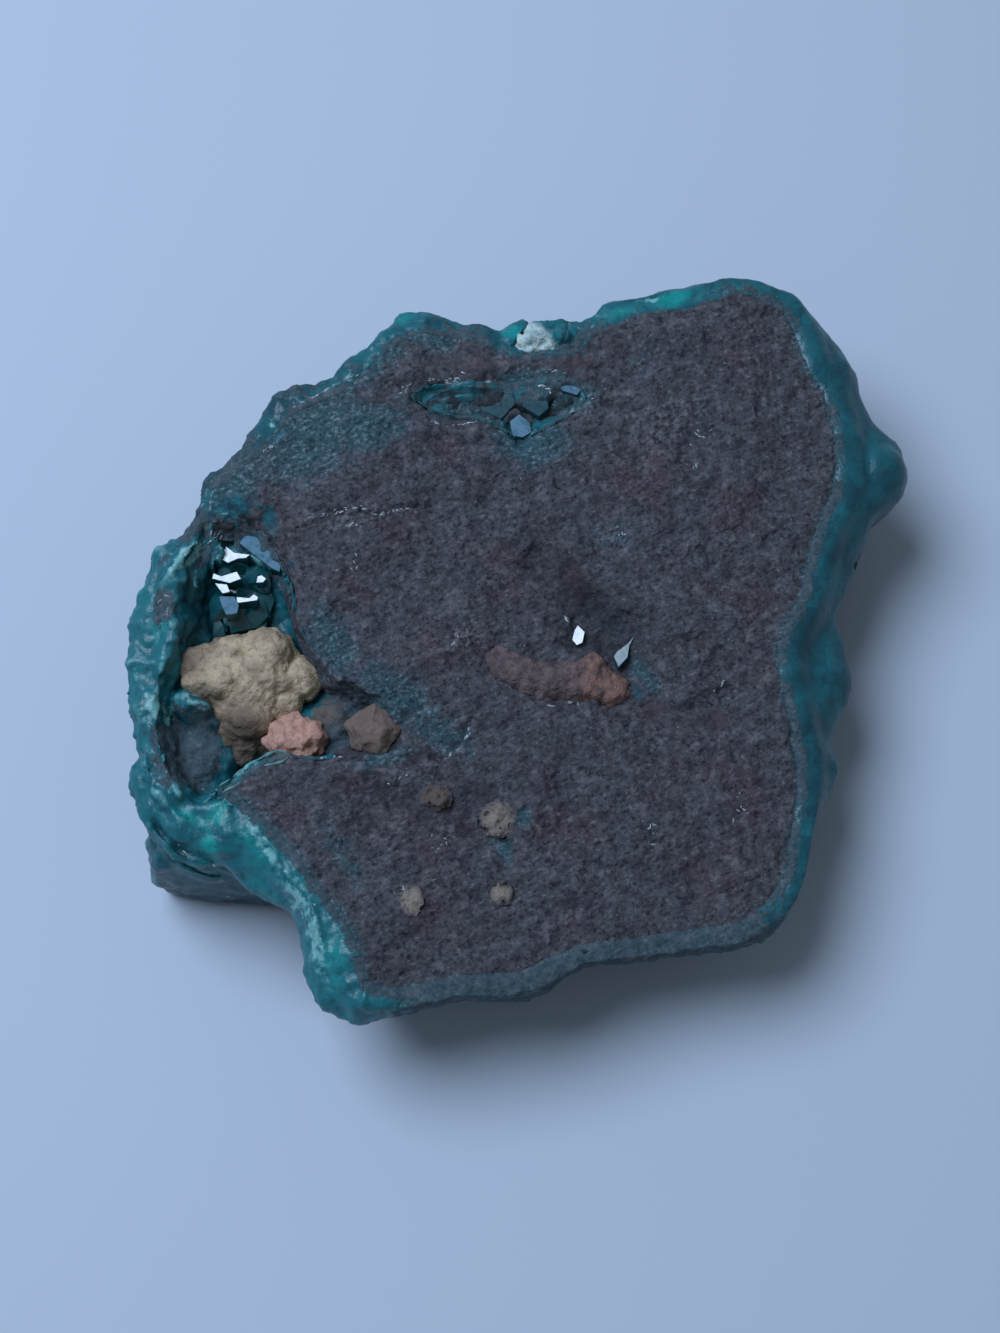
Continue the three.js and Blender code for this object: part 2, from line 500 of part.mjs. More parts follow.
// The origin is the middle of the base.
const box = new THREE.Box3().setFromObject(specimen);
const middle = box.getCenter(new THREE.Vector3());
specimen.position.set(-middle.x, -middle.y, -box.min.z);

export default specimen;
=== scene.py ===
"""Dresses the dioptase specimen: a tilted slab of sandy host rock in a thick blue-green crust, with a vug, a
crevice and a small hollow whose crystals, and the grains round them, are pieces of their own."""

import json
import math
import random

import bpy
import numpy as np
from bpy.props import FloatProperty, FloatVectorProperty, IntProperty, PointerProperty
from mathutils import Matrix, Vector
from mathutils.bvhtree import BVHTree

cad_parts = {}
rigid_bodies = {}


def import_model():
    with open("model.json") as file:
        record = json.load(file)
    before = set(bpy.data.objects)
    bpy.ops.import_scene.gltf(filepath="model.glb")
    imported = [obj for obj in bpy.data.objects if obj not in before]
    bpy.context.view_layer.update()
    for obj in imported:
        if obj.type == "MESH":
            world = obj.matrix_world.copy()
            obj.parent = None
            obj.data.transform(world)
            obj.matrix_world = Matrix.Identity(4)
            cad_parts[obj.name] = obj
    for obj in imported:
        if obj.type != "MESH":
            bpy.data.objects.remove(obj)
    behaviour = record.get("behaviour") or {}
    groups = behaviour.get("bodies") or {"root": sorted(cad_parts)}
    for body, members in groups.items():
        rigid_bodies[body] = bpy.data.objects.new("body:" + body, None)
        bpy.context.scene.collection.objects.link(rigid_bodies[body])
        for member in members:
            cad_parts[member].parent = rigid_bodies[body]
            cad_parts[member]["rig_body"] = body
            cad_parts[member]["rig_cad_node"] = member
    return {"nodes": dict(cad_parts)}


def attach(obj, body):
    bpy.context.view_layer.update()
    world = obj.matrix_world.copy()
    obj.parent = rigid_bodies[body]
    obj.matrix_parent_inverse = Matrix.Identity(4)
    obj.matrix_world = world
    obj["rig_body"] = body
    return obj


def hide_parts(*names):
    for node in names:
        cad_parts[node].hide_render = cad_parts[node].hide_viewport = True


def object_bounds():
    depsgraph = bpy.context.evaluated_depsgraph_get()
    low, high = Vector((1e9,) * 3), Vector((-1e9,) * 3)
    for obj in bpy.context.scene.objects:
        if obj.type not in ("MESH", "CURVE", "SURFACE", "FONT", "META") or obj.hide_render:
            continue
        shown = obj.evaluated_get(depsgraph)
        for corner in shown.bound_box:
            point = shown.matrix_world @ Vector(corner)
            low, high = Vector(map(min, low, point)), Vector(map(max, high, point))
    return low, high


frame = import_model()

bl_info = {
    "name": "Dioptase specimen",
    "version": (1, 0, 0),
    "blender": (4, 5, 0),
    "location": "View3D > Sidebar > Specimen",
    "description": "Models the crust, host rock, crystals and grains of a dioptase specimen",
    "category": "Object",
}

# ---- Measures, in millimetres unless a name says otherwise ----
MM = 0.001
AXIS = (-1.30, -1.69)  # the outline's axis, which the places below count from, in the frame
FACE_HEIGHT = 16.5  # height of the dark face over the axis
FACE_FALL_X = 0.11
FACE_RISE_Y = 0.11
CAD_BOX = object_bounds()

# Patches on the rock: place, half-lengths, turn in degrees and strength.
ROCK_STAINS = [
    (-12.0, 17.6, 4.4, 2.4, 25, 0.85),
    (-16.5, 17.0, 6.5, 4.0, 42, 0.85),
    (-23.5, 12.5, 2.6, 3.4, -40, 1.0),
    (-12.5, 24.0, 6.0, 2.6, 45, 1.0),
    (-7.5, 26.6, 3.6, 1.8, -15, 0.9),
    (-5.0, 20.6, 5.0, 1.6, 3, 0.75),
    (1.5, 17.6, 3.4, 2.6, 0, 1.0),
    (1.6, 22.0, 3.6, 2.2, 0, 1.0),
    (5.0, 21.3, 3.0, 1.4, 20, 0.8),
    (-14.5, -0.5, 2.2, 3.8, 20, 0.75),
    (-9.5, -4.5, 5.0, 2.2, -25, 0.75),
    (-10.5, -9.6, 3.2, 0.9, 20, 0.8),
    (-5.5, -7.5, 3.5, 1.8, -20, 0.7),
    (8.0, 2.5, 3.5, 2.2, -45, 0.45),
    (10.5, -1.5, 2.8, 1.0, -55, 0.75),
    (-0.6, -16.6, 1.8, 0.8, -70, 0.8),
    (0.9, -14.2, 0.7, 0.9, 0, 0.9),
    (8.5, 9.5, 3.0, 1.6, 10, 0.45),
    (11.0, 25.0, 2.0, 4.0, -20, 0.35),
    (-3.0, -27.5, 5.0, 0.9, 5, 0.8),
    (-13.5, -17.5, 1.4, 5.0, 35, 0.5),
]
# Thin glassy skins on the rock, as above.
ROCK_SKINS = [
    (-11.4, 25.3, 2.6, 1.3, 52, 1.0),
    (-9.4, 27.4, 2.4, 1.2, 20, 1.0),
    (-13.6, 22.6, 1.8, 0.6, 40, 0.8),
    (-19.4, 18.0, 0.9, 1.8, -15, 0.9),
    (-22.6, 10.6, 2.8, 1.2, 5, 1.0),
    (-19.8, 9.8, 1.0, 1.6, 10, 0.9),
    (-18.2, 6.0, 0.8, 0.35, 10, 0.9),
    (0.5, 22.7, 1.0, 1.2, 0, 0.8),
    (4.0, 25.6, 3.4, 1.2, 8, 0.7),
    (0.8, 17.4, 2.4, 1.6, 0, 0.45),
    (-12.0, -4.0, 2.6, 0.9, -35, 0.35),
    (10.2, -3.2, 0.8, 1.4, 30, 0.7),
]
# Patches of painted shade on the rock, in its hollows and over its lower part, and worn and rusty patches, as
# above.
ROCK_SHADES = [
    (7.0, 3.6, 5.0, 1.7, -45, 1.0),
    (6.5, 1.0, 3.0, 1.4, -30, 0.8),
    (-13.5, -6.8, 3.6, 1.8, -20, 0.9),
    (-10.5, -13.0, 4.5, 1.6, -10, 0.5),
    (-2.5, -12.0, 2.4, 1.0, -30, 0.6),
    (-1.0, 21.0, 3.4, 1.6, 0, 0.9),
    (-7.8, 20.4, 2.4, 0.8, 10, 0.6),
    (-14.0, -27.0, 8.0, 3.0, -10, 0.25),
    (3.0, -9.0, 6.0, 2.0, 20, 0.3),
]
ROCK_WORN = [
    (-12.3, 17.8, 3.0, 1.6, 20, 0.9),
    (-15.5, 12.5, 4.0, 2.0, 20, 0.45),
    (-10.0, 23.6, 1.1, 0.5, -40, 1.0),
    (13.0, 20.0, 5.0, 4.0, 30, 0.6),
    (8.0, 16.0, 5.0, 3.0, 10, 0.45),
    (-3.8, 0.4, 2.4, 1.4, 30, 0.9),
    (-12.5, 10.0, 5.5, 1.0, 12, 0.8),
    (17.5, 9.5, 2.0, 4.5, 0, 0.5),
    (8.5, 9.5, 1.6, 1.0, 0, 0.9),
    (15.0, -4.0, 4.0, 2.5, 0, 0.4),
    (-8.0, -14.5, 5.0, 1.0, 8, 0.5),
    (6.0, 20.6, 1.6, 0.5, 25, 0.9),
]
ROCK_RUST = [
    (13.0, -5.5, 5.0, 3.0, 0, 0.5),
    (10.0, -10.0, 7.0, 4.0, 20, 0.35),
    (-9.0, -17.5, 5.0, 3.0, 0, 0.35),
    (5.0, 24.6, 2.8, 1.0, 5, 1.0),
    (-3.0, 24.0, 4.0, 1.4, -10, 0.7),
    (-9.4, 25.4, 1.4, 0.8, 0, 0.8),
    (17.0, -5.5, 1.0, 0.8, 0, 1.0),
]
# Ledges on the face: the line along a step's brink, the step's height, and how far it tapers off behind it.
LEDGES = [
    ([(-20.3, 16.2), (-19.2, 18.9), (-17.8, 19.8), (-15.8, 20.9), (-14.5, 21.8), (-12.6, 22.4)], 0.25, 1.2),
    ([(-17.0, 9.4), (-15.4, 10.0), (-13.3, 10.5), (-11.7, 10.4), (-8.4, 11.2)], 0.4, 2.0),
    ([(-12.8, 21.4), (-10.0, 21.9), (-5.0, 21.9), (0.0, 23.6)], 0.5, 1.6),
    ([(-3.4, -6.8), (-4.2, -8.2), (-6.0, -9.7), (-9.6, -10.6), (-13.4, -10.0)], 0.5, 1.5),
    ([(-1.0, -1.0), (-4.0, -0.2), (-6.5, -1.0)], 0.3, 2.0),
    ([(17.5, 20.0), (18.0, 16.0), (17.0, 12.0), (14.5, 9.0)], 0.2, 2.5),
    ([(4.6, -17.5), (-2.0, -15.8), (-9.0, -15.6)], 0.3, 2.5),
]
# Strokes on the face: line, half-width, and height over the ground.
ROCK_STROKES = [
    ([(2.0, 6.4), (4.5, 4.9), (7.0, 3.0), (9.0, 0.8), (10.3, -1.3)], 1.5, -0.8),
    ([(-1.5, -1.8), (1.5, -2.4), (4.5, -3.4), (8.0, -4.0)], 1.6, -0.35),
    ([(-21.8, 9.2), (-20.6, 7.8), (-19.4, 6.4), (-18.9, 5.6)], 0.9, -1.3),
    ([(-10.5, -12.0), (-6.0, -14.0), (-1.0, -16.5)], 1.2, -0.35),
    ([(-3.0, -5.5), (-7.0, -8.5), (-10.0, -9.4)], 0.35, 0.25),
    ([(-8.0, 18.0), (-4.0, 17.6), (-2.0, 18.2)], 0.5, 0.35),
    ([(4.7, 20.3), (5.8, 20.9), (7.2, 21.6)], 0.35, 0.4),
    ([(14.0, 26.5), (15.0, 22.0), (14.0, 18.0)], 0.5, 0.25),
    ([(15.0, 24.0), (18.5, 20.5)], 0.4, 0.2),
    ([(13.5, 24.0), (10.0, 21.0), (8.5, 18.0)], 0.4, 0.2),
    ([(-7.0, 14.0), (-2.0, 15.2), (3.0, 14.6)], 1.4, 0.25),
    ([(14.0, -4.0), (17.0, -2.6), (19.5, -1.4)], 0.5, 0.3),
    ([(-14.0, 17.6), (-12.0, 18.6), (-10.0, 18.2)], 1.3, 0.35),
    ([(-12.0, 25.0), (-10.5, 23.2), (-8.0, 22.8)], 0.8, 0.35),
]
# Strokes on the crust, as above.
CRUST_STROKES = [
    ([(-28.6, -14.9), (-27.7, -16.0), (-26.6, -16.9), (-25.0, -17.5), (-24.0, -17.7)], 0.22, -0.8),
    ([(-19.5, -16.5), (-17.6, -18.9), (-16.0, -21.3), (-14.9, -25.0)], 0.35, 0.45),
    ([(-21.5, -13.2), (-19.5, -15.6), (-17.0, -18.6)], 0.5, 0.3),
    ([(-29.6, -9.6), (-28.6, -12.6), (-26.2, -15.0)], 0.4, 0.4),
    ([(-25.2, 12.5), (-23.2, 14.4), (-20.5, 17.6), (-18.6, 19.6)], 0.35, 0.35),
    ([(-28.2, 4.6), (-26.8, 6.2), (-25.6, 7.5), (-24.2, 8.8)], 0.4, 0.5),
    ([(-28.3, -8.2), (-27.6, -11.0), (-26.4, -13.2)], 0.3, 0.35),
]
# Balls that swell out of the crust: place, height and radius.
CRUST_BALLS = [
    (-29.9, 1.2, 15.2, 1.3),
    (-30.1, -3.4, 14.8, 1.2),
    (-29.0, -8.0, 15.0, 1.5),
    (-28.6, -11.4, 14.8, 1.4),
    (-26.9, -14.4, 14.6, 1.7),
    (-27.6, 4.6, 15.8, 1.2),
    (-28.4, 6.4, 15.0, 1.7),
    (-26.2, 8.8, 16.0, 1.3),
    (-24.4, 10.4, 17.2, 1.1),
    (-22.4, 14.4, 17.6, 1.3),
    (-19.3, 18.9, 18.0, 1.2),
    (-23.9, -16.8, 14.0, 0.75),
    (31.1, 17.4, 11.6, 3.1),
    (24.0, 31.2, 14.5, 1.5),
    (27.8, 26.2, 13.6, 1.9),
    (29.6, 9.3, 11.8, 0.8),
    (26.0, -8.6, 10.0, 1.2),
]
# Patches on the crust where it is bright: bright crystals, and painted light where light glints or shines
# through, as above.
CRUST_GLOWS = [
    (-25.6, -14.6, 3.0, 1.0, -30, 1.0),
    (-23.4, -14.4, 1.6, 1.4, 30, 1.0),
    (-24.0, -16.8, 0.8, 1.3, 0, 1.0),
    (-21.0, -16.5, 3.0, 1.6, -45, 0.7),
    (-14.0, -26.0, 1.8, 3.4, 20, 0.8),
    (-11.5, -28.6, 2.5, 1.0, -10, 0.7),
    (-28.6, 0.2, 1.4, 2.4, 0, 0.85),
    (-29.0, -11.0, 1.2, 3.0, 10, 0.55),
    (-23.0, 0.8, 3.0, 0.8, 0, 0.6),
    (-19.0, 3.2, 1.0, 2.0, 0, 0.6),
    (-24.6, 6.0, 2.0, 3.4, 0, 0.45),
    (0.2, 27.4, 1.9, 1.3, 0, 1.0),
    (13.9, 31.2, 3.4, 1.3, 20, 1.0),
    (9.0, 29.6, 3.0, 1.0, 15, 0.8),
    (-9.2, 28.2, 2.2, 1.2, 20, 0.8),
    (-12.0, 26.0, 2.4, 1.0, 50, 0.65),
    (-25.2, -5.2, 2.0, 1.2, -30, 0.65),
]
# Places on the rim that no rock covers, as above.
CRUST_CLEAR = [
    (0.2, 27.6, 1.9, 2.0, 0, 1.0),
    (13.9, 31.5, 4.5, 2.0, 20, 1.0),
    (8.5, 30.0, 3.5, 1.4, 10, 1.0),
    (25.5, 26.0, 4.0, 3.0, -45, 0.8),
    (-9.4, 28.4, 2.6, 1.8, 15, 1.0),
    (-12.6, 26.0, 3.2, 1.6, 50, 0.8),
    (-19.8, 18.6, 0.9, 2.4, -15, 0.9),
    (-23.4, 10.9, 1.9, 1.1, 5, 1.0),
    (-26.6, 6.6, 2.2, 0.5, 50, 0.9),
]
# Its dark, pale and rock-covered patches, as above.
CRUST_DARKS = [
    (-25.6, 3.5, 1.3, 3.4, -5, 0.9),
    (-25.4, -8.8, 2.2, 4.0, -15, 0.7),
    (-20.5, 0.5, 2.5, 1.2, -10, 0.4),
    (-19.0, 21.0, 3.4, 1.0, 38, 0.9),
    (-21.8, 16.6, 1.0, 1.8, 20, 0.9),
    (-25.4, 13.0, 1.2, 3.0, -35, 0.6),
]
CRUST_PALES = [
    (-19.3, -17.4, 0.6, 4.5, 38, 0.8),
    (-17.0, -21.0, 1.2, 4.0, 32, 0.7),
    (-15.5, -24.5, 0.9, 3.5, 15, 0.8),
    (-30.2, -2.5, 0.7, 3.0, 0, 0.4),
    (-28.6, -5.8, 1.8, 1.6, 0, 0.9),
    (-29.3, -10.5, 0.7, 4.0, 5, 0.5),
    (-25.5, -15.8, 2.5, 0.6, -20, 0.5),
    (-26.6, 6.3, 2.8, 0.7, 48, 1.0),
    (-23.8, 10.7, 1.0, 0.6, 10, 1.0),
    (-19.7, 18.0, 0.7, 2.0, -15, 0.5),
    (-15.6, 21.0, 3.0, 0.35, 32, 0.8),
    (-24.0, 13.6, 2.0, 0.35, 45, 0.5),
    (-13.2, 26.4, 2.2, 1.0, 45, 0.3),
    (12.0, 31.0, 1.5, 0.5, 20, 0.8),
    (21.0, 24.5, 1.2, 1.2, 0, 0.4),
]
CRUST_ROCKY = [
    (-26.2, -8.6, 3.4, 4.2, -15, 1.0),
    (-28.2, 2.2, 1.3, 2.2, 0, 0.9),
    (-14.0, -7.0, 4.5, 3.0, 0, 1.0),
    (-26.0, 9.2, 1.4, 2.2, -30, 1.0),
    (-23.0, 14.6, 1.6, 2.4, -40, 0.8),
    (-18.8, 21.0, 3.0, 0.9, 35, 0.8),
    (-28.3, 6.4, 1.2, 0.6, 30, 0.5),
]
# Where it is softened, as above.
CRUST_SOFT = [(-16.2, -4.6, 3.0, 2.4, -30, 1.0), (-21.4, 16.2, 4.0, 1.2, 50, 0.5)]
# Rust where rock covers it, as above.
CRUST_RUST = [
    (-15.6, -5.0, 2.6, 2.0, -20, 1.0),
    (-18.6, -9.6, 1.6, 0.8, 10, 0.7),
    (-23.5, -12.0, 2.0, 0.8, 40, 0.6),
]
# The crust's rim by bearing in degrees: cover of rock, brightness, which is painted light, high on the lit
# left and low on the shaded right and front, and knobbliness.
RIM_LOOK = [
    (0, 0.0, 0.22, 0.12),
    (45, 0.0, 0.24, 0.12),
    (52, 0.2, 0.3, 0.2),
    (62, 0.6, 0.34, 0.3),
    (90, 0.6, 0.4, 0.4),
    (105, 0.5, 0.38, 0.5),
    (120, 0.45, 0.28, 0.7),
    (140, 0.6, 0.22, 0.9),
    (155, 0.5, 0.26, 1.0),
    (167, 0.25, 0.45, 1.0),
    (180, 0.05, 0.55, 1.0),
    (205, 0.0, 0.5, 0.9),
    (222, 0.0, 0.6, 0.45),
    (242, 0.0, 0.55, 0.55),
    (248, 0.2, 0.5, 0.5),
    (256, 0.7, 0.35, 0.4),
    (290, 1.0, 0.2, 0.25),
    (306, 0.9, 0.2, 0.2),
    (320, 0.2, 0.2, 0.12),
    (360, 0.0, 0.22, 0.12),
]
# Parts of the tan lump in painted shade, mostly on its lower slope, and its browner left end, as above.
TAN_SHADES = [
    (-26.6, -1.6, 2.4, 2.0, 0, 0.75),
    (-22.3, -7.5, 2.8, 3.0, -40, 0.95),
    (-24.8, -4.6, 2.4, 1.2, -30, 0.7),
    (-21.5, -4.5, 1.5, 1.0, -60, 0.3),
]
# Smooth floors that partly fill the hollows of the face: place, half-lengths, turn and depth.
HOLLOW_FLOORS = [
    (6.6, 2.6, 6.0, 2.6, -48, 0.9),
    (0.5, 20.8, 5.5, 2.4, 2, 1.0),
    (-7.5, 20.6, 5.5, 2.4, 2, 0.45),
]
# Where the rock is softened: place, half-lengths, turn and strength.
ROCK_SOFT = [
    (6.6, 2.0, 5.5, 3.0, -48, 1.0),
    (-1.0, 20.8, 10.0, 2.6, 2, 0.6),
    (-20.4, 7.6, 2.5, 1.6, -50, 0.7),
]
# Domes on the tan lump: place and radius.
TAN_DOMES = [
    (-20.2, -0.6, 2.2),
    (-17.4, -2.4, 1.9),
    (-18.4, -4.2, 1.4),
    (-22.8, -0.8, 1.7),
    (-25.8, -1.6, 1.6),
    (-23.6, -3.2, 1.6),
    (-21.4, -5.8, 1.9),
]
# Mounds on the crust: place, half-lengths, turn, and height of the top over the face.
CRUST_MOUNDS = [
    (-25.9, -5.1, 2.5, 1.5, -28, -1.5),
    (-25.8, -9.4, 3.8, 5.2, -15, -3.2),
    (-14.8, -6.6, 4.5, 3.4, 0, -1.7),
    (-21.8, 10.6, 2.6, 1.6, 20, -0.1),
    (-26.4, 3.4, 2.2, 4.0, -5, -2.6),
]
# The strands of the curled edge on the vug's front lip, and their half-thickness.
CURL = [
    [
        (-23.4, -12.3), (-22.0, -11.3), (-20.9, -10.3), (-19.9, -9.8),
        (-19.0, -9.2), (-18.2, -9.3), (-18.0, -9.9),
    ],
    [(-23.2, -12.8), (-21.7, -12.0), (-20.4, -10.9), (-19.4, -10.4), (-18.6, -10.4), (-18.0, -9.9)],
]
CURL_RADIUS = 0.075
CURL_SINK = 0.5  # how far under the plain face the strands may lie where the rock gives no ground

RAY_TOP = 30  # rays that look for the ground start over everything
BRINK_WIDTH = 0.4  # how far a ledge's step spreads in plan
STREAKS_HEADING = 28  # the bearing of the faint streaks in the rock
STREAKS_STRETCH = 3.2  # how much longer than wide they are

# The CAD nodes whose seats in the rock are filled.
SEATED = ["grey_feldspar_crystal", "brown_vein_lump", "cream_grain_large", "cream_grain_brown"]
SEATED += ["cream_grain_left", "cream_grain_right"]
GRAIN_SINK = 0.4  # how far the rock under the small grains stays below their CAD solids' tops
SEAT_GROWTH = 0.2  # share of the seam by which the filled seats grow
SEAM_SINK = 0.6  # share of the seam by which the rock's face is lowered again
FINE_FACES = 0.25  # the rock is finely meshed where it faces up more than this
ROCK_DEPTH = 3  # down to here under the plain face, what faces up still belongs to the rock's face
ROCK_DROP = 0.35  # how far the rock's face bends down to the crust
ROCK_DROP_REACH = 2.0  # how far from the crust it begins to bend
HOLLOW_EDGE = 0.12  # where in the fall of a hollow's oval its floor ends
HOLLOW_STEEPNESS = 1.4  # how soon behind its edge the floor is level
STAIN_REACH = 2.0  # how far the crust's colour soaks into the rock

BED_DEPTH = 1.0  # how far under the rock's face the crust closes beneath it
LIP_REACH = 2.4  # how far from the rock's side the crust is drawn to it
LIP_HALF_WIDTH = 0.35  # the lip that it forms is level this far to both sides of the rock's side
LIP_FALL_OUT = 0.25  # how steeply it falls off from there, outwards and inwards
LIP_FALL_IN = 0.8
LIP_LIFT = 0.05  # how far it stands over the rock
LIP_LOOKS = (0.0, 0.35, 0.7)  # how far in the rock's height is read
LIP_LEVEL = 0.3  # the level that a point needs to be part of it
LIP_STEEP = 0.6  # the rock's sides are the faces steeper than this
RIM_RADIUS = 20  # the rim begins at this distance from the axis
FOOT_TOP = 9  # height up to which the crust is smooth and coarsely meshed
LIVELY = 0.35  # it is finely meshed where it is knobblier than this, but not on its underside
UNDERSIDE = -0.2
MOUND_CURVE = 2.2  # how fast a mound falls off
MOUND_GROUND = 7  # mounds leave what lies deeper than this alone

FACETS_HEADING = 208  # the bearing that a facet with a positive lean faces
FACET_BLOCK = 1.6  # how far the dark block under a facet reaches down
FACET_BEVEL = 0.05
FINE_VOXEL = 0.1  # mesh size of the smallest lumps
GRAIN_LIFT = 0.12  # how far the small grains' middles stand over the rock
GRAIN_DOME = 0.14  # how much lower their rims are
GLINT_SEED = 7
GLINTS_AT_A_PLACE = 6

# The stage. The soft light's place and size are in metres, its power in watts, angles in degrees.
WINDOW_PLACE = (-0.168, 0.0798, 0.378)
WINDOW_SIZE = 0.27
WINDOW_POWER = 1.8
WINDOW_COLOUR = "#dbe8ff"
SKY_STRENGTH = 0.25
SKY_COLOUR = "#d9e4f2"
CAMERA_TARGET = (-1.0, -1.5, 15.5)
CAMERA_ELEVATION = 70
CAMERA_DISTANCE = 182
CAMERA_LENS = 60


def face_z(x, y):
    """Height of the plain face at a place."""
    return FACE_HEIGHT - FACE_FALL_X * x + FACE_RISE_Y * y


def at(x, y, z):
    """A point of the frame, from a place counted from the axis."""
    return Vector((x + AXIS[0], y + AXIS[1], z)) * MM


def linear(code):
    """An sRGB hex colour as linear red, green and blue."""
    parts = [int(code[i : i + 2], 16) / 255 for i in (1, 3, 5)]
    return tuple(c / 12.92 if c <= 0.04045 else ((c + 0.055) / 1.055) ** 2.4 for c in parts)


# ---- What a user would change ----
def length(name, description, default):
    return FloatProperty(name=name, description=description, default=default * MM, unit="LENGTH", precision=5)


def colour(name, description, code):
    return FloatVectorProperty(name=name, description=description, default=linear(code), subtype="COLOR")


class SpecimenSizes(bpy.types.PropertyGroup):
    rock_voxel: length("Rock mesh", "Mesh size of the rock, halved on its face", 0.42)
    crust_voxel: length("Crust mesh", "Mesh size of the crust, halved on its lively side", 0.47)
    lump_voxel: length("Lump mesh", "Mesh size of the lumps and grains", 0.16)
    sand: length("Sand grain", "Width of the sand grains in the host rock", 0.34)
    sand_relief: length("Sand relief", "Height of the sand grains", 0.2)
    seam: length("Seam", "How far the rock grows to close the seam to the crust", 0.3)
    glint: length("Glint", "Width of the largest small crystals on the ledges", 0.16)
    glints: IntProperty(name="Glints", description="Small crystals per millimetre of ledge", default=3, min=1)


class SpecimenColours(bpy.types.PropertyGroup):
    rock: colour("Host rock", "The sand's middle tone", "#46474f")
    # rock_dark also gives the painted shade in hollows and grooves, and rock_light the painted highlight on
    # crests.
    rock_dark: colour("Host rock, dark", "Pores and shaded grains", "#212228")
    rock_light: colour("Host rock, light", "Worn tops of grains", "#74747b")
    rock_brown: colour("Host rock, brown", "Iron-stained patches", "#453f44")
    stain: colour("Stained rock", "Rock that the crust's mineral has coloured", "#2d4d56")
    stain_light: colour("Stained rock, light", "Worn grains in the stained rock", "#667f86")
    # The three crust tones carry a painted glow: brightest on the lit side and in thin parts, darkest in
    # shaded parts.
    crust_bright: colour("Crust, bright", "Where light comes through", "#068a8a")
    crust: colour("Crust", "The crust's middle tone", "#19646f")
    crust_dark: colour("Crust, dark", "Thick and shaded parts", "#123f4b")
    # crust_pale is also the painted highlight on the crust's crests.
    crust_pale: colour("Crust, pale", "Chipped edges and thin skins", "#7fbcbc")
    crystal: colour("Dioptase crystals", "The glassy crystals in the hollows", "#0f4a50")
    crystal_dark: colour("Dioptase crystals, dark", "The same crystals deeper in", "#10303a")
    # A painted reflection of the sky, as the broad facets' colour.
    mirror: colour("Facets", "Broad facets that mirror the sky", "#587f98")
    # Darkened, this colour is also the painted reflection of the light on the broad whitish facets in the
    # hollows.
    clear: colour("Clear crystals", "The clear crystals on ledges and in hollows", "#b9c9ce")
    tan: colour("Tan calcite", "The lump in the vug", "#b2a389")
    # Besides pores, rust and the brown grain, this colour gives the painted shade on the tan lump's lower
    # slope and in the grooves of the tan lump and the grey crystal.
    tan_dark: colour("Tan calcite, dark", "Its stained slope and pores", "#5d5148")
    pink: colour("Pink feldspar", "The pink grain", "#b68f80")
    grey: colour("Grey feldspar", "The flat-faced crystal", "#6d605b")
    brown: colour("Brown vein", "The bent lump", "#65575a")
    salmon: colour("Brown vein, warm end", "The bent lump's right end", "#80635a")
    knob: colour("Pale calcite", "The knob at the back", "#b2c8c8")
    cream: colour("Cream grains", "The small grains", "#8b8377")
    floor: colour("Floor", "The surface that it lies on", "#b2c1d1")


def sizes():
    return bpy.context.scene.specimen_sizes


def colours():
    return bpy.context.scene.specimen_colours


# ---- Modelling helpers ----
def select_only(*pieces):
    bpy.ops.object.select_all(action="DESELECT")
    for piece in pieces:
        piece.select_set(True)
    bpy.context.view_layer.objects.active = pieces[0]


def modify(piece, kind, **settings):
    """Adds a modifier to a piece and applies it."""
    select_only(piece)
    made = piece.modifiers.new(kind.lower(), kind)
    for name, value in settings.items():
        setattr(made, name, value)
    bpy.ops.object.modifier_apply(modifier=made.name)


def copy_of(node, name):
    """A new piece that starts as a copy of a CAD node, its loose triangles merged."""
    piece = frame["nodes"][node].copy()
    piece.data = piece.data.copy()
    bpy.context.collection.objects.link(piece)
    piece.hide_viewport = piece.hide_render = False
    piece.hide_set(False)
    select_only(piece)
    bpy.ops.object.parent_clear(type="CLEAR_KEEP_TRANSFORM")
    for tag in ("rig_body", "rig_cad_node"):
        del piece[tag]
    piece.name = piece.data.name = name
    piece.data.materials.clear()
    bpy.ops.object.mode_set(mode="EDIT")
    bpy.ops.mesh.select_all(action="SELECT")
    bpy.ops.mesh.remove_doubles(threshold=0.001 * MM)
    bpy.ops.object.mode_set(mode="OBJECT")
    return piece


def join(pieces, name):
    """Makes one piece of several."""
    select_only(*pieces)
    bpy.ops.object.join()
    piece = bpy.context.active_object
    piece.name = piece.data.name = name
    return piece


def points_of(piece, layer="co"):
    values = np.empty(len(piece.data.vertices) * 3)
    piece.data.vertices.foreach_get(layer, values)
    return values.reshape(-1, 3)


def move_points(piece, points):
    """Puts a piece's points in new places, kept inside the CAD model's box."""
    low, high = (np.array(corner) for corner in CAD_BOX)
    piece.data.vertices.foreach_set("co", np.clip(points, low, high).ravel())
    piece.data.update()


def plan(points):
    """Points as x and y counted from the axis, and height over the plain face, in millimetres."""
    x = points[:, 0] / MM - AXIS[0]
    y = points[:, 1] / MM - AXIS[1]
    return x, y, points[:, 2] / MM - face_z(x, y)


def survey(piece):
    """A piece's points, and their plan."""
    points = points_of(piece)
    return (points, *plan(points))


def mark(piece, name, values):
    """Stores one number for each point, for a material to read."""
    attribute = piece.data.attributes.new(name, "FLOAT", "POINT")
    attribute.data.foreach_set("value", np.clip(values, 0, 1).astype(np.float32))


def oval(x, y, spot):
    """Each point's squared distance from the middle of an oval, where the oval's outline is at 1."""
    px, py, along, across, turn = spot[:5]
    c, s = math.cos(math.radians(turn)), math.sin(math.radians(turn))
    u = ((x - px) * c + (y - py) * s) / along
    v = ((y - py) * c - (x - px) * s) / across
    return u**2 + v**2


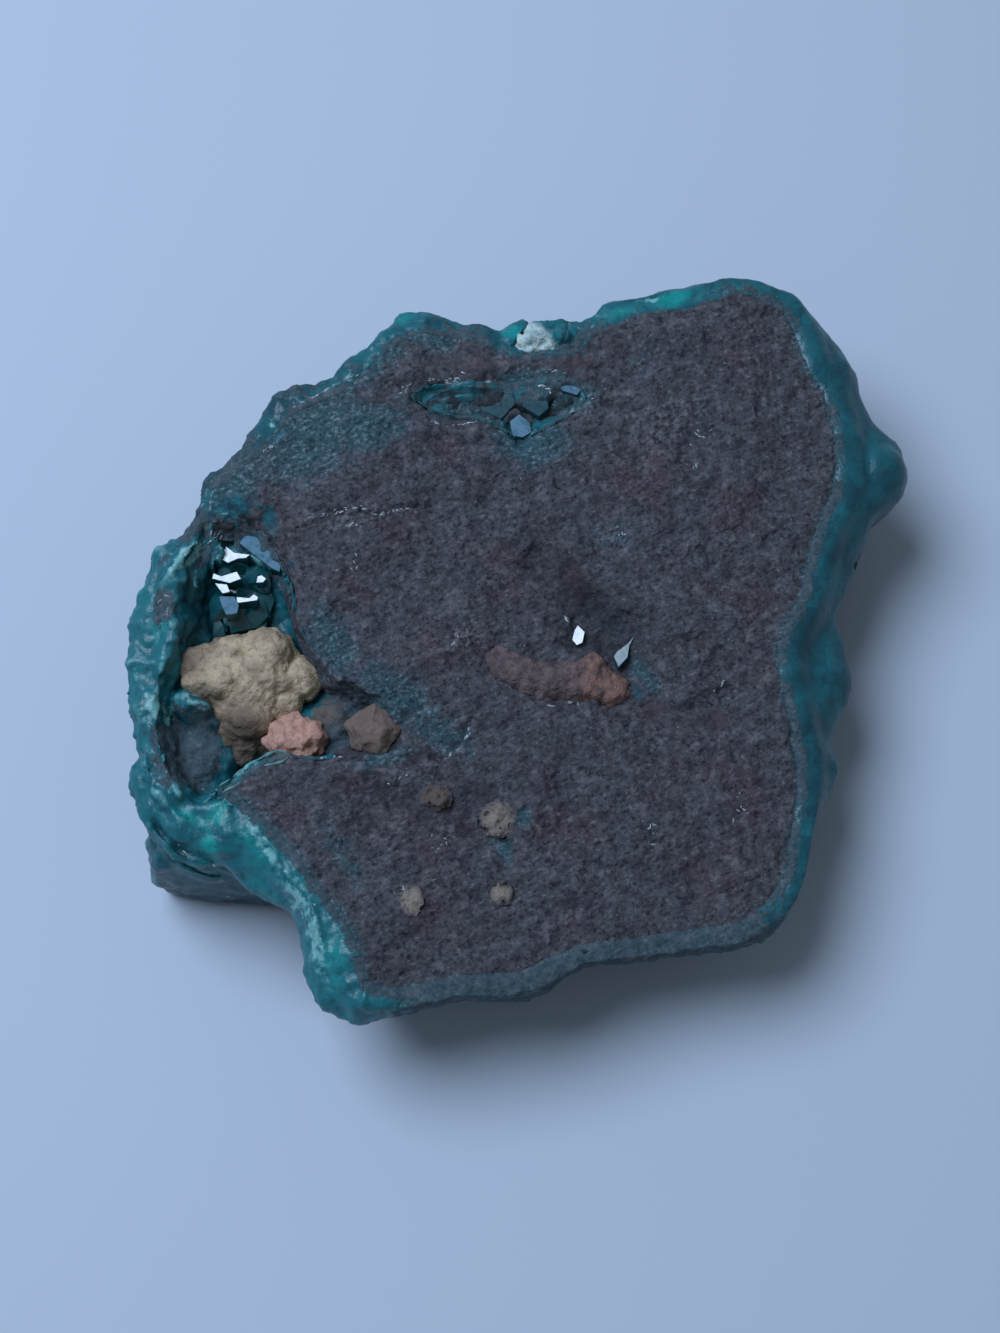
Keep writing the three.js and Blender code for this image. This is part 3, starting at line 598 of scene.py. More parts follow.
def patches(x, y, spots):
    """How strongly each point lies in one of some soft oval patches."""
    total = np.zeros(len(x))
    for spot in spots:
        total = np.maximum(total, spot[5] * np.exp(-oval(x, y, spot)))
    return total


def by_bearing(x, y, column):
    """One column of the rim's table, at each point's bearing from the axis."""
    rows = np.array(RIM_LOOK)
    return np.interp(np.degrees(np.arctan2(y, x)) % 360, rows[:, 0], rows[:, column])


def beside(x, y, line):
    """Each point's distance from a line, and the side that it is on: 1 on the left and -1 on the right."""
    nearest = np.full(len(x), np.inf)
    side = np.zeros(len(x))
    for (ax, ay), (bx, by) in zip(line, line[1:]):
        ex, ey = bx - ax, by - ay
        share = np.clip(((x - ax) * ex + (y - ay) * ey) / (ex * ex + ey * ey), 0, 1)
        dx, dy = x - ax - share * ex, y - ay - share * ey
        distance = np.hypot(dx, dy)
        side = np.where(distance < nearest, np.sign(ex * dy - ey * dx), side)
        nearest = np.minimum(distance, nearest)
    return nearest, side


def strokes_height(x, y, strokes):
    """Height that rounded strokes add to the ground, in millimetres."""
    total = np.zeros(len(x))
    for line, width, height in strokes:
        total += height * np.exp(-((beside(x, y, line)[0] / width) ** 2))
    return total


def ledges_height(x, y):
    """Height of the ledges: the ground left of each line is raised at its brink and tapers off behind it."""
    total = np.zeros(len(x))
    for line, height, taper in LEDGES:
        distance, side = beside(x, y, line)
        brink = np.clip(0.5 + side * distance / BRINK_WIDTH, 0, 1)
        total += height * brink * np.exp(-((distance / taper) ** 2))
    return total


def tree_of(piece, chosen=lambda polygon: True):
    """What finds distances and heights on a piece's faces, or on those that a test chooses."""
    faces = [polygon.vertices for polygon in piece.data.polygons if chosen(polygon)]
    return BVHTree.FromPolygons([v.co for v in piece.data.vertices], faces)


def height_at(ground, x, y):
    """Height of the highest surface at a place of the frame, in metres, or None where there is none."""
    hit = ground.ray_cast(Vector((x, y, RAY_TOP * MM)), Vector((0, 0, -1)))[0]
    return None if hit is None else hit.z


def crests(piece, rounds, depth):
    """How far each point stands out from the ground round it: 1 on a crest, 0 in a groove, else 0.5."""
    ends = np.empty(len(piece.data.edges) * 2, dtype=int)
    piece.data.edges.foreach_get("vertices", ends)
    first, second = ends.reshape(-1, 2).T
    points = points_of(piece)
    ground = points.copy()
    count = np.bincount(first, minlength=len(points)) + np.bincount(second, minlength=len(points))
    for _ in range(rounds):
        for axis in range(3):
            total = np.bincount(first, ground[second, axis], len(points))
            total += np.bincount(second, ground[first, axis], len(points))
            ground[:, axis] = total / np.maximum(count, 1)
    height = ((points - ground) * points_of(piece, "normal")).sum(axis=1)
    return 0.5 + height / (2 * depth * MM)


def nearness(points, node, reach):
    """1 at a CAD node's surface, falling to 0 at a distance in millimetres."""
    tree = tree_of(frame["nodes"][node])
    found = [tree.find_nearest(Vector(point), reach * MM)[3] for point in points]
    return np.array([0.0 if d is None else 1 - d / (reach * MM) for d in found])


def meet_rock(points, level):
    """Brings the crust's level points along the rock's side up to its face, and those under the rock down."""
    node = frame["nodes"]["host_rock_slab"]
    slab = tree_of(node)
    sides = tree_of(node, lambda polygon: abs(polygon.normal.z) < LIP_STEEP)
    rock = tree_of(bpy.data.objects["rock_slab"])
    for i in np.flatnonzero(level > LIP_LEVEL):
        point = Vector(points[i])
        edge = sides.find_nearest(point, LIP_REACH * MM)[0]
        if edge is None:
            continue
        away = math.hypot(edge.x - point.x, edge.y - point.y) / MM
        inward = Vector((edge.x - point.x, edge.y - point.y, 0)).normalized()
        if height_at(slab, point.x, point.y) is not None:
            away, inward = -away, -inward
        places = [edge + inward * further * MM for further in LIP_LOOKS]
        tops = [height_at(rock, place.x, place.y) for place in places]
        tops = [top for top in tops if top is not None]
        if tops:
            fall = (LIP_FALL_OUT if away > 0 else LIP_FALL_IN) * max(0, abs(away) - LIP_HALF_WIDTH)
            lift = max(tops) + (LIP_LIFT - fall) * MM - point.z
            share = min(1, 2 - 2 * abs(away) / LIP_REACH)
            points[i, 2] += share * (lift if away < -LIP_HALF_WIDTH else max(0, lift))


def raise_mounds(points, mounds):
    """Raises the ground to domed mounds where it is lower."""
    x, y, over = plan(points)
    for spot in mounds:
        away = oval(x, y, spot)
        dome = spot[5] - MOUND_CURVE * away
        lift = np.where((away < 1.5) & (over > -MOUND_GROUND), np.maximum(dome - over, 0), 0)
        points[:, 2] += lift * MM
        over = over + lift


def swell_balls(points, balls):
    """Pushes a surface out to balls set into it."""
    for x, y, z, radius in balls:
        centre = np.array(at(x, y, z))
        away = points - centre
        distance = np.linalg.norm(away, axis=1)
        inside = (distance < radius * MM) & (distance > 0)
        points[inside] = centre + away[inside] * (radius * MM / distance[inside])[:, None]


def raise_domes(piece, spots):
    """Swells a piece into low domes at places of its upper side, each with a radius."""
    points = points_of(piece)
    ground = tree_of(piece)
    balls = []
    for x, y, radius in spots:
        place = at(x, y, 0)
        top = height_at(ground, place.x, place.y)
        if top is not None:
            balls.append((x, y, top / MM - 0.7 * radius, radius))
    swell_balls(points, balls)
    move_points(piece, points)


def roughen(piece, name, size, height, group="", detail=2, blocks=None):
    """Moves a surface in and out by half a height, in soft clouds or in blocks with a distance metric."""
    made = bpy.data.textures.new(name, "VORONOI" if blocks else "CLOUDS")
    made.noise_scale = size * MM
    if blocks:
        made.distance_metric = blocks
    else:
        made.noise_depth = detail
    settings = {"texture": made, "texture_coords": "LOCAL", "mid_level": 0.5, "vertex_group": group}
    modify(piece, "DISPLACE", direction="NORMAL", strength=height * MM, **settings)


def group_of(piece, name, weights):
    """A vertex group with one weight for each point."""
    group = piece.vertex_groups.new(name=name)
    for i, weight in enumerate(np.clip(weights, 0, 1)):
        group.add([i], float(weight), "REPLACE")


def swell(piece, distance):
    """Moves a piece's surface outwards."""
    modify(piece, "DISPLACE", direction="NORMAL", mid_level=0.0, strength=distance)


def halve_faces(piece, chosen):
    """Divides the chosen faces in four."""
    select_only(piece)
    bpy.ops.object.mode_set(mode="EDIT")
    bpy.ops.mesh.select_mode(type="FACE")
    bpy.ops.mesh.select_all(action="DESELECT")
    bpy.ops.object.mode_set(mode="OBJECT")
    piece.data.polygons.foreach_set("select", chosen)
    bpy.ops.object.mode_set(mode="EDIT")
    bpy.ops.mesh.subdivide(number_cuts=1, quadcorner="INNERVERT")
    bpy.ops.object.mode_set(mode="OBJECT")


def finish_piece(piece, materials, slot, *nodes, smooth=True):
    """The last steps of every piece: shading, materials, and its ties to the frame."""
    select_only(piece)
    if smooth:
        bpy.ops.object.shade_smooth()
    else:
        bpy.ops.object.shade_flat()
    move_points(piece, points_of(piece))
    for material in materials:
        piece.data.materials.append(material)
    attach(piece, "root")
    if nodes:
        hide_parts(*nodes)


# ---- Material helpers ----
def add_node(tree, kind, out, inputs=None, **settings):
    """Adds one shader node with its settings and its inputs' values or links. Gives one output."""
    made = tree.nodes.new("ShaderNode" + kind)
    for name, value in settings.items():
        setattr(made, name, value)
    for name, value in (inputs or {}).items():
        if isinstance(value, bpy.types.NodeSocket):
            tree.links.new(value, made.inputs[name])
        else:
            made.inputs[name].default_value = value
    return made.outputs[out]


def rgba(value):
    return (*value, 1.0)


def new_material(name, **shader_inputs):
    """A material with its shader, and the place on the piece that its patterns follow."""
    material = bpy.data.materials.new(name)
    material.use_nodes = True
    tree = material.node_tree
    shader = tree.nodes["Principled BSDF"]
    for key, value in shader_inputs.items():
        shader.inputs[key.replace("_", " ")].default_value = value
    return material, tree, shader, add_node(tree, "TexCoord", "Object")


def cloud(place, size, detail=3.0, roughness=0.55):
    """What a noise needs for soft features of about a size in millimetres."""
    return {"Vector": place, "Scale": 1 / (size * MM), "Detail": detail, "Roughness": roughness}


def stir(tree, value, pattern, spread):
    """A value, or a mark on the piece by its name, moved up and down by a pattern to fray its border."""
    if isinstance(value, str):
        value = add_node(tree, "Attribute", "Fac", attribute_name=value)
    moved = add_node(tree, "Math", 0, {0: pattern, 1: spread, 2: -0.5 * spread}, operation="MULTIPLY_ADD")
    return add_node(tree, "Math", 0, {0: value, 1: moved}, operation="ADD")


def tint(tree, base, colour, value, low, high, amount=1.0, blend="SMOOTHSTEP"):
    """A colour laid over another: not at all where a value is low, and by an amount where it is high."""
    edge = {"Value": value, "From Min": low, "From Max": high, "To Max": amount}
    share = add_node(tree, "MapRange", "Result", edge, interpolation_type=blend)
    base, colour = (c if isinstance(c, bpy.types.NodeSocket) else rgba(c) for c in (base, colour))
    return add_node(tree, "Mix", 2, {0: share, 6: base, 7: colour}, data_type="RGBA")


def dress(tree, shader, colour, height, depth, strength):
    """Gives a shader its colour and a fine relief, whose depth is in millimetres."""
    relief = {"Height": height, "Distance": depth * MM, "Strength": strength}
    tree.links.new(colour, shader.inputs["Base Color"])
    tree.links.new(add_node(tree, "Bump", "Normal", relief), shader.inputs["Normal"])


def rock_colour(tree, place):
    """Sandy host rock: fine grains from near black to grey, in faint streaks, over slow brown patches."""
    c = colours()
    sand = sizes().sand / MM
    turn = (0, 0, math.radians(STREAKS_HEADING))
    along = {"Vector": place, "Rotation": turn, "Scale": (STREAKS_STRETCH, 1, 1)}
    lain = add_node(tree, "Mapping", "Vector", along, vector_type="TEXTURE")
    streaks = add_node(tree, "TexNoise", "Fac", cloud(lain, 0.8 * sand, 2.0, 0.65))
    grains = add_node(tree, "TexNoise", "Fac", cloud(place, sand, 2.0, 0.7))
    grains = add_node(tree, "Mix", 0, {0: 0.4, 2: grains, 3: streaks}, data_type="FLOAT")
    coarse = add_node(tree, "TexNoise", "Fac", cloud(place, 2.8 * sand, 3.0, 0.6))
    slow = add_node(tree, "TexNoise", "Fac", cloud(place, 5.0))
    base = tint(tree, c.rock, c.rock_brown, slow, 0.5, 0.66, 0.7)
    base = tint(tree, base, c.rock_dark, grains, 0.52, 0.34)
    base = tint(tree, base, c.rock_light, grains, 0.54, 0.7, 0.7)
    base = tint(tree, base, c.rock_dark, coarse, 0.5, 0.3, 0.6)
    return tint(tree, base, c.rock_light, coarse, 0.54, 0.7, 0.35), grains


def rock_material():
    # Fine-grained quartz and clay, freshly broken: dull all over, each grain a small bump with its own shade,
    # with rubbed pale grains, rust, and the blue-green of the crust soaked in where they meet. Painted shade
    # lies in its hollows and grooves, and a painted highlight on its crests.
    material, tree, shader, place = new_material("granular_host_rock", Roughness=0.9, Specular_IOR_Level=0.25)
    c = colours()
    base, grains = rock_colour(tree, place)
    cloudy = add_node(tree, "TexNoise", "Fac", cloud(place, 1.0, 4.0, 0.7))
    specks = add_node(tree, "TexNoise", "Fac", cloud(place, 0.45, 3.0, 0.85))
    crest = add_node(tree, "Attribute", "Fac", attribute_name="crest")
    shade = add_node(tree, "Attribute", "Fac", attribute_name="shade")
    base = tint(tree, base, c.rock_brown, stir(tree, "rust", cloudy, 1.0), 0.3, 0.8, 0.6)
    tops = {"Value": grains, "From Min": 0.46, "From Max": 0.6, "To Max": 0.6}
    tops = add_node(tree, "MapRange", "Result", tops, interpolation_type="SMOOTHSTEP")
    base = tint(tree, base, c.rock_light, stir(tree, "worn", cloudy, 1.6), 0.35, 0.8, tops)
    stained = tint(tree, c.stain, c.stain_light, grains, 0.5, 0.66)
    stained = tint(tree, stained, c.crystal_dark, grains, 0.49, 0.34)
    base = tint(tree, base, stained, stir(tree, "stain", cloudy, 1.1), 0.15, 0.75, 0.85)
    glassy = tint(tree, c.crust_dark, c.crust, cloudy, 0.4, 0.62)
    glassy = tint(tree, glassy, c.stain_light, cloudy, 0.62, 0.75)
    base = tint(tree, base, glassy, stir(tree, "skin", cloudy, 1.0), 0.3, 0.9, 0.85)
    # Painted shade in the hollows and lower down, painted shade in the grooves, and a painted highlight on
    # the crests.
    base = tint(tree, base, c.rock_dark, shade, 0, 1, 0.75, "LINEAR")
    base = tint(tree, base, c.rock_dark, crest, 0.45, 0.0, 0.7)
    base = tint(tree, base, c.rock_light, crest, 0.6, 1.1, 0.5)
    base = tint(tree, base, c.clear, specks, 0.68, 0.76, 0.5)
    height = add_node(tree, "Math", 0, {0: cloudy, 1: 0.5, 2: grains}, operation="MULTIPLY_ADD")
    dress(tree, shader, base, height, 0.3, 0.6)
    return material


def crust_material():
    # Dioptase in a waxy, compact crust: cloudy blue-green with a painted glow, brightest on its lit side and
    # where it is thin, paler crests that are partly chipped edges and partly painted highlight, painted shade
    # in its grooves, dark veins, and grains of the host rock where the two meet.
    material, tree, shader, place = new_material("waxy_dioptase_crust", IOR=1.6, Specular_IOR_Level=0.3)
    shader.inputs["Subsurface Weight"].default_value = 0.15
    shader.inputs["Subsurface Radius"].default_value = (0.2, 1.0, 1.0)
    shader.inputs["Subsurface Scale"].default_value = 0.7 * MM
    c = colours()
    cloudy = add_node(tree, "TexNoise", "Fac", cloud(place, 3.0, 4.0, 0.6))
    fine = add_node(tree, "TexNoise", "Fac", cloud(place, 0.8, 4.0, 0.65))
    ragged = add_node(tree, "TexNoise", "Fac", cloud(place, 0.9, 5.0, 0.75))
    blocks = add_node(tree, "TexVoronoi", "Color", {"Vector": place, "Scale": 1 / (1.3 * MM)})
    crest = add_node(tree, "Attribute", "Fac", attribute_name="crest")
    # Painted glow, from the glow mark.
    glow = stir(tree, stir(tree, "glow", cloudy, 0.7), blocks, 0.22)
    base = tint(tree, c.crust_dark, c.crust, glow, 0.0, 0.5)
    base = tint(tree, base, c.crust_bright, glow, 0.5, 1.0)
    base = tint(tree, base, c.crust_dark, fine, 0.48, 0.28, 0.7)
    # Painted shade in the grooves here, and further down a painted highlight on the crests.
    base = tint(tree, base, c.crystal_dark, crest, 0.42, 0.0, 0.85)
    base = tint(tree, base, c.crust_pale, stir(tree, "pale", fine, 1.8), 0.45, 0.9, 0.75)
    base = tint(tree, base, c.crust_pale, crest, 0.65, 1.1, 0.55)
    rock, grains = rock_colour(tree, place)
    rock = add_node(tree, "Mix", 2, {0: 0.25, 6: rock, 7: rgba(c.crust)}, data_type="RGBA")
    rock = tint(tree, rock, c.tan_dark, stir(tree, "rust", fine, 1.2), 0.3, 0.8, 0.75)
    cover = {"Value": stir(tree, "rocky", ragged, 1.5), "From Min": 0.45, "From Max": 0.6}
    cover = add_node(tree, "MapRange", "Result", cover, interpolation_type="SMOOTHSTEP")
    base = add_node(tree, "Mix", 2, {0: cover, 6: base, 7: rock}, data_type="RGBA")
    rough = add_node(tree, "MapRange", "Result", {"Value": cover, "To Min": 0.36, "To Max": 0.9})
    tree.links.new(rough, shader.inputs["Roughness"])
    sandy = add_node(tree, "Math", 0, {0: cover, 1: 0.35}, operation="ADD")
    height = add_node(tree, "Math", 0, {0: grains, 1: sandy, 2: fine}, operation="MULTIPLY_ADD")
    dress(tree, shader, base, height, 0.25, 0.5)
    return material


def crystal_material(name, base, depths, roughness=0.12, shine=0.5):
    # Clear, deep-coloured crystals: smooth flat faces that mirror the light, cloudier inside. On the broad
    # facets the colours given are a painted reflection.
    finish = {"Roughness": roughness, "IOR": 1.66, "Specular_IOR_Level": shine}
    material, tree, shader, place = new_material(name, **finish)
    inside = add_node(tree, "TexNoise", "Fac", cloud(place, 0.6))
    tree.links.new(tint(tree, base, depths, inside, 0.42, 0.7, 0.6), shader.inputs["Base Color"])
    return material


def lump_material(name, base, shade, size, relief, pore=None):
    # A dull, finely crystalline lump, its colour a little uneven and darker in its pores. Where it is marked
    # shade its second colour is laid: painted shade on the tan lump and in the grooves of the pink grain and
    # the grey crystal, a second tone of its own on the other lumps.
    material, tree, shader, place = new_material(name, Roughness=0.85, Specular_IOR_Level=0.3)
    patchy = add_node(tree, "TexNoise", "Fac", cloud(place, size, 4.0, 0.6))
    sugar = add_node(tree, "TexNoise", "Fac", cloud(place, 0.3, 2.0, 0.6))
    base = tint(tree, base, shade, stir(tree, "shade", patchy, 0.9), 0.2, 0.9)
    base = tint(tree, base, pore or shade, patchy, 0.6, 0.35, 0.5)
    base = tint(tree, base, pore or shade, sugar, 0.5, 0.3, 0.35)
    dress(tree, shader, base, sugar, relief, 0.8)
    return material


def darker(value, share):
    return tuple(c * share for c in value)


# ---- Pieces ----
class SPECIMEN_OT_host_rock(bpy.types.Operator):
    """The slab of sandy host rock, with its ledges and its stained patches"""

    bl_idname = "specimen.host_rock"
    bl_label = "Host rock"

    def execute(self, context):
        size = sizes()
        parts = [copy_of("host_rock_slab", "rock_slab")] + [copy_of(node, node + "_seat") for node in SEATED]
        for part in parts:
            swell(part, size.seam if part is parts[0] else SEAT_GROWTH * size.seam)
            if "grain" in part.name:
                move_points(part, points_of(part) - (0, 0, GRAIN_SINK * MM))
        piece = join(parts, "rock_slab")
        modify(piece, "REMESH", mode="VOXEL", voxel_size=size.rock_voxel)
        modify(piece, "SMOOTH", factor=0.5, iterations=3)
        halve_faces(piece, [polygon.normal.z > FINE_FACES for polygon in piece.data.polygons])

        # The ground: its face a little lower where it meets the crust, its ledges, strokes and hollow floors.
        points, x, y, over = survey(piece)
        up = np.clip((points_of(piece, "normal")[:, 2] - 0.3) / 0.4, 0, 1) * np.clip(over + ROCK_DEPTH, 0, 1)
        relief = ledges_height(x, y) + strokes_height(x, y, ROCK_STROKES) - SEAM_SINK * size.seam / MM
        relief -= ROCK_DROP * nearness(points, "dioptase_crust", ROCK_DROP_REACH) ** 2
        points[:, 2] += up * relief * MM
        for spot in HOLLOW_FLOORS:
            share = np.exp(-oval(x, y, spot))
            floor = (face_z(x, y) - spot[5] * np.minimum(1, HOLLOW_STEEPNESS * share)) * MM
            filled = (share > HOLLOW_EDGE) & (over > -ROCK_DEPTH)
            points[:, 2] = np.where(filled, np.maximum(points[:, 2], floor), points[:, 2])
        move_points(piece, points)

        # Its relief, from broad waves to single grains, calm along its sides so that they stay in the crust.
        group_of(piece, "soft", patches(x, y, ROCK_SOFT) * (over > -4))
        sides = nearness(points, "dioptase_crust", 1.2) * (np.hypot(x, y) > 19)
        group_of(piece, "loose", 1 - 0.9 * sides)
        modify(piece, "SMOOTH", factor=1.0, iterations=30, vertex_group="soft")
        roughen(piece, "rock_waves", 4.0, 1.1, "loose")
        roughen(piece, "rock_pits", 1.2, 0.5, "loose")
        roughen(piece, "rock_sand", 0.45, size.sand_relief / MM, detail=0)

        points, x, y, over = survey(piece)
        deep = np.clip(-over / 3.0 - 0.2, 0, 1)
        edge = nearness(points, "dioptase_crust", STAIN_REACH) * (0.9 - 0.6 * by_bearing(x, y, 1))
        mark(piece, "stain", np.maximum.reduce([patches(x, y, ROCK_STAINS), edge, 0.5 * deep]))
        mark(piece, "crest", crests(piece, 12, 0.3))
        marks = {"skin": ROCK_SKINS, "shade": ROCK_SHADES, "worn": ROCK_WORN, "rust": ROCK_RUST}
        for name, spots in marks.items():
            mark(piece, name, patches(x, y, spots))
        finish_piece(piece, [rock_material()], "host_rock", "host_rock_slab")
        return {"FINISHED"}


class SPECIMEN_OT_crust(bpy.types.Operator):
    """The dioptase crust with its lobes and its foot, closed under the rock"""

    bl_idname = "specimen.crust"
    bl_label = "Dioptase crust"

    def execute(self, context):
        size = sizes()
        bed = copy_of("host_rock_slab", "crust_bed")
        move_points(bed, points_of(bed) - (0, 0, BED_DEPTH * MM))
        piece = join([copy_of("dioptase_crust", "crust"), bed], "crust")
        modify(piece, "REMESH", mode="VOXEL", voxel_size=size.crust_voxel)
        modify(piece, "SMOOTH", factor=0.5, iterations=4)
        centres = np.array([polygon.center for polygon in piece.data.polygons])
        x, y, _ = plan(centres)
        lively = (by_bearing(x, y, 3) > LIVELY) & (centres[:, 2] > FOOT_TOP * MM)
        rising = np.array([polygon.normal.z > UNDERSIDE for polygon in piece.data.polygons])
        halve_faces(piece, lively & rising)

        # The ground: strokes, mounds, the lip along the rock, and balls.
        points, x, y, over = survey(piece)
        up = np.clip(points_of(piece, "normal")[:, 2] * 3, 0, 1) * np.clip(over + 8, 0, 1)
        points[:, 2] += up * strokes_height(x, y, CRUST_STROKES) * MM
        raise_mounds(points, CRUST_MOUNDS)
        rim = (over > -ROCK_DEPTH) & (nearness(points, "dioptase_crust", 1.5) > 0)
        for node in SEATED:
            rim &= nearness(points, node, 1.2) == 0
        meet_rock(points, up * rim)
        swell_balls(points, CRUST_BALLS)
        move_points(piece, points)

        # Its relief: blocks, chips and knobs on the lively side and on the flanks, sand where rock covers it.
        x, y, _ = plan(points)
        group_of(piece, "soft", patches(x, y, CRUST_SOFT) * (points[:, 2] > 10 * MM))
        modify(piece, "SMOOTH", factor=1.0, iterations=20, vertex_group="soft")
        points, x, y, over = survey(piece)
        foot = np.clip((points[:, 2] / MM - FOOT_TOP) / 2.0, 0.12, 1)
        away = 1 - nearness(points, "host_rock_slab", 0.6)
        flank = 0.7 * np.clip(-over / 3 - 1.0, 0, 1)
        knobbly = np.maximum(by_bearing(x, y, 3) * foot, flank)
        group_of(piece, "knobbly", knobbly * away * np.clip(points[:, 2] / MM - 0.8, 0, 1))
        roughen(piece, "crust_blocks", 2.9, -0.75, "knobbly", blocks="MANHATTAN")
        roughen(piece, "crust_chips", 0.9, -0.3, "knobbly", blocks="CHEBYCHEV")
        roughen(piece, "crust_knobs", 1.2, 0.4, "knobbly", detail=1)
        points, x, y, over = survey(piece)
        # The glow is painted light: on the rim's lit side and in the bright patches, less in the dark patches
        # and lower down.
        height = np.clip((over + 14) / 12, 0, 1)
        glow = np.maximum(by_bearing(x, y, 2), patches(x, y, CRUST_GLOWS))
        mark(piece, "glow", height * glow * (1 - patches(x, y, CRUST_DARKS)))
        upward = np.clip(points_of(piece, "normal")[:, 2] * 3, 0, 1)
        lip = 0.8 * nearness(points, "host_rock_slab", 1.0)
        rim = by_bearing(x, y, 1) * np.clip((over + 6) / 3, 0, 1) * (np.hypot(x, y) > RIM_RADIUS)
        rocky = np.maximum(upward * np.maximum(lip, patches(x, y, CRUST_ROCKY)), rim)
        rocky *= 1 - patches(x, y, CRUST_CLEAR)
        mark(piece, "rocky", rocky)
        group_of(piece, "sandy", rocky * away)
        roughen(piece, "crust_sand", 0.8, 0.5, "sandy")
        mark(piece, "pale", patches(x, y, CRUST_PALES) * upward)
        mark(piece, "rust", patches(x, y, CRUST_RUST))
        # Crests and grooves for the painted highlight and the painted shade, on the lively side.
        lively = by_bearing(x, y, 3) * (1 - nearness(points_of(piece), "host_rock_slab", 1.6))
        mark(piece, "crest", 0.5 + (crests(piece, 10, 0.3) - 0.5) * lively)
        finish_piece(piece, [crust_material()], "dioptase", "dioptase_crust")
        return {"FINISHED"}


def lump(node, name, knobs, grain, growth=0.3, voxel=None):
    """A rough lump from a CAD node, grown to close its seat."""
    piece = copy_of(node, name)
    modify(piece, "REMESH", mode="VOXEL", voxel_size=voxel or sizes().lump_voxel)
    modify(piece, "SMOOTH", factor=0.5, iterations=3)
    swell(piece, growth * MM)
    roughen(piece, f"{name}_knobs", 1.3, knobs)
    roughen(piece, f"{name}_grain", 0.4, grain, detail=1)
    return piece


def lay_flush(piece):
    """Lays a grain's upper side just over the rock, lower at its rim. Gives how far out each point is."""
    ground = tree_of(bpy.data.objects["rock_slab"])
    points = points_of(piece)
    middle = points.mean(axis=0)
    out = np.hypot(points[:, 0] - middle[0], points[:, 1] - middle[1])
    out = (out / out.max()) ** 2
    for point, upward, share in zip(points, points_of(piece, "normal")[:, 2] > 0.3, out):
        top = height_at(ground, point[0], point[1])
        if upward and top is not None:
            point[2] = top + (GRAIN_LIFT - GRAIN_DOME * share) * MM
    move_points(piece, points)
    return out


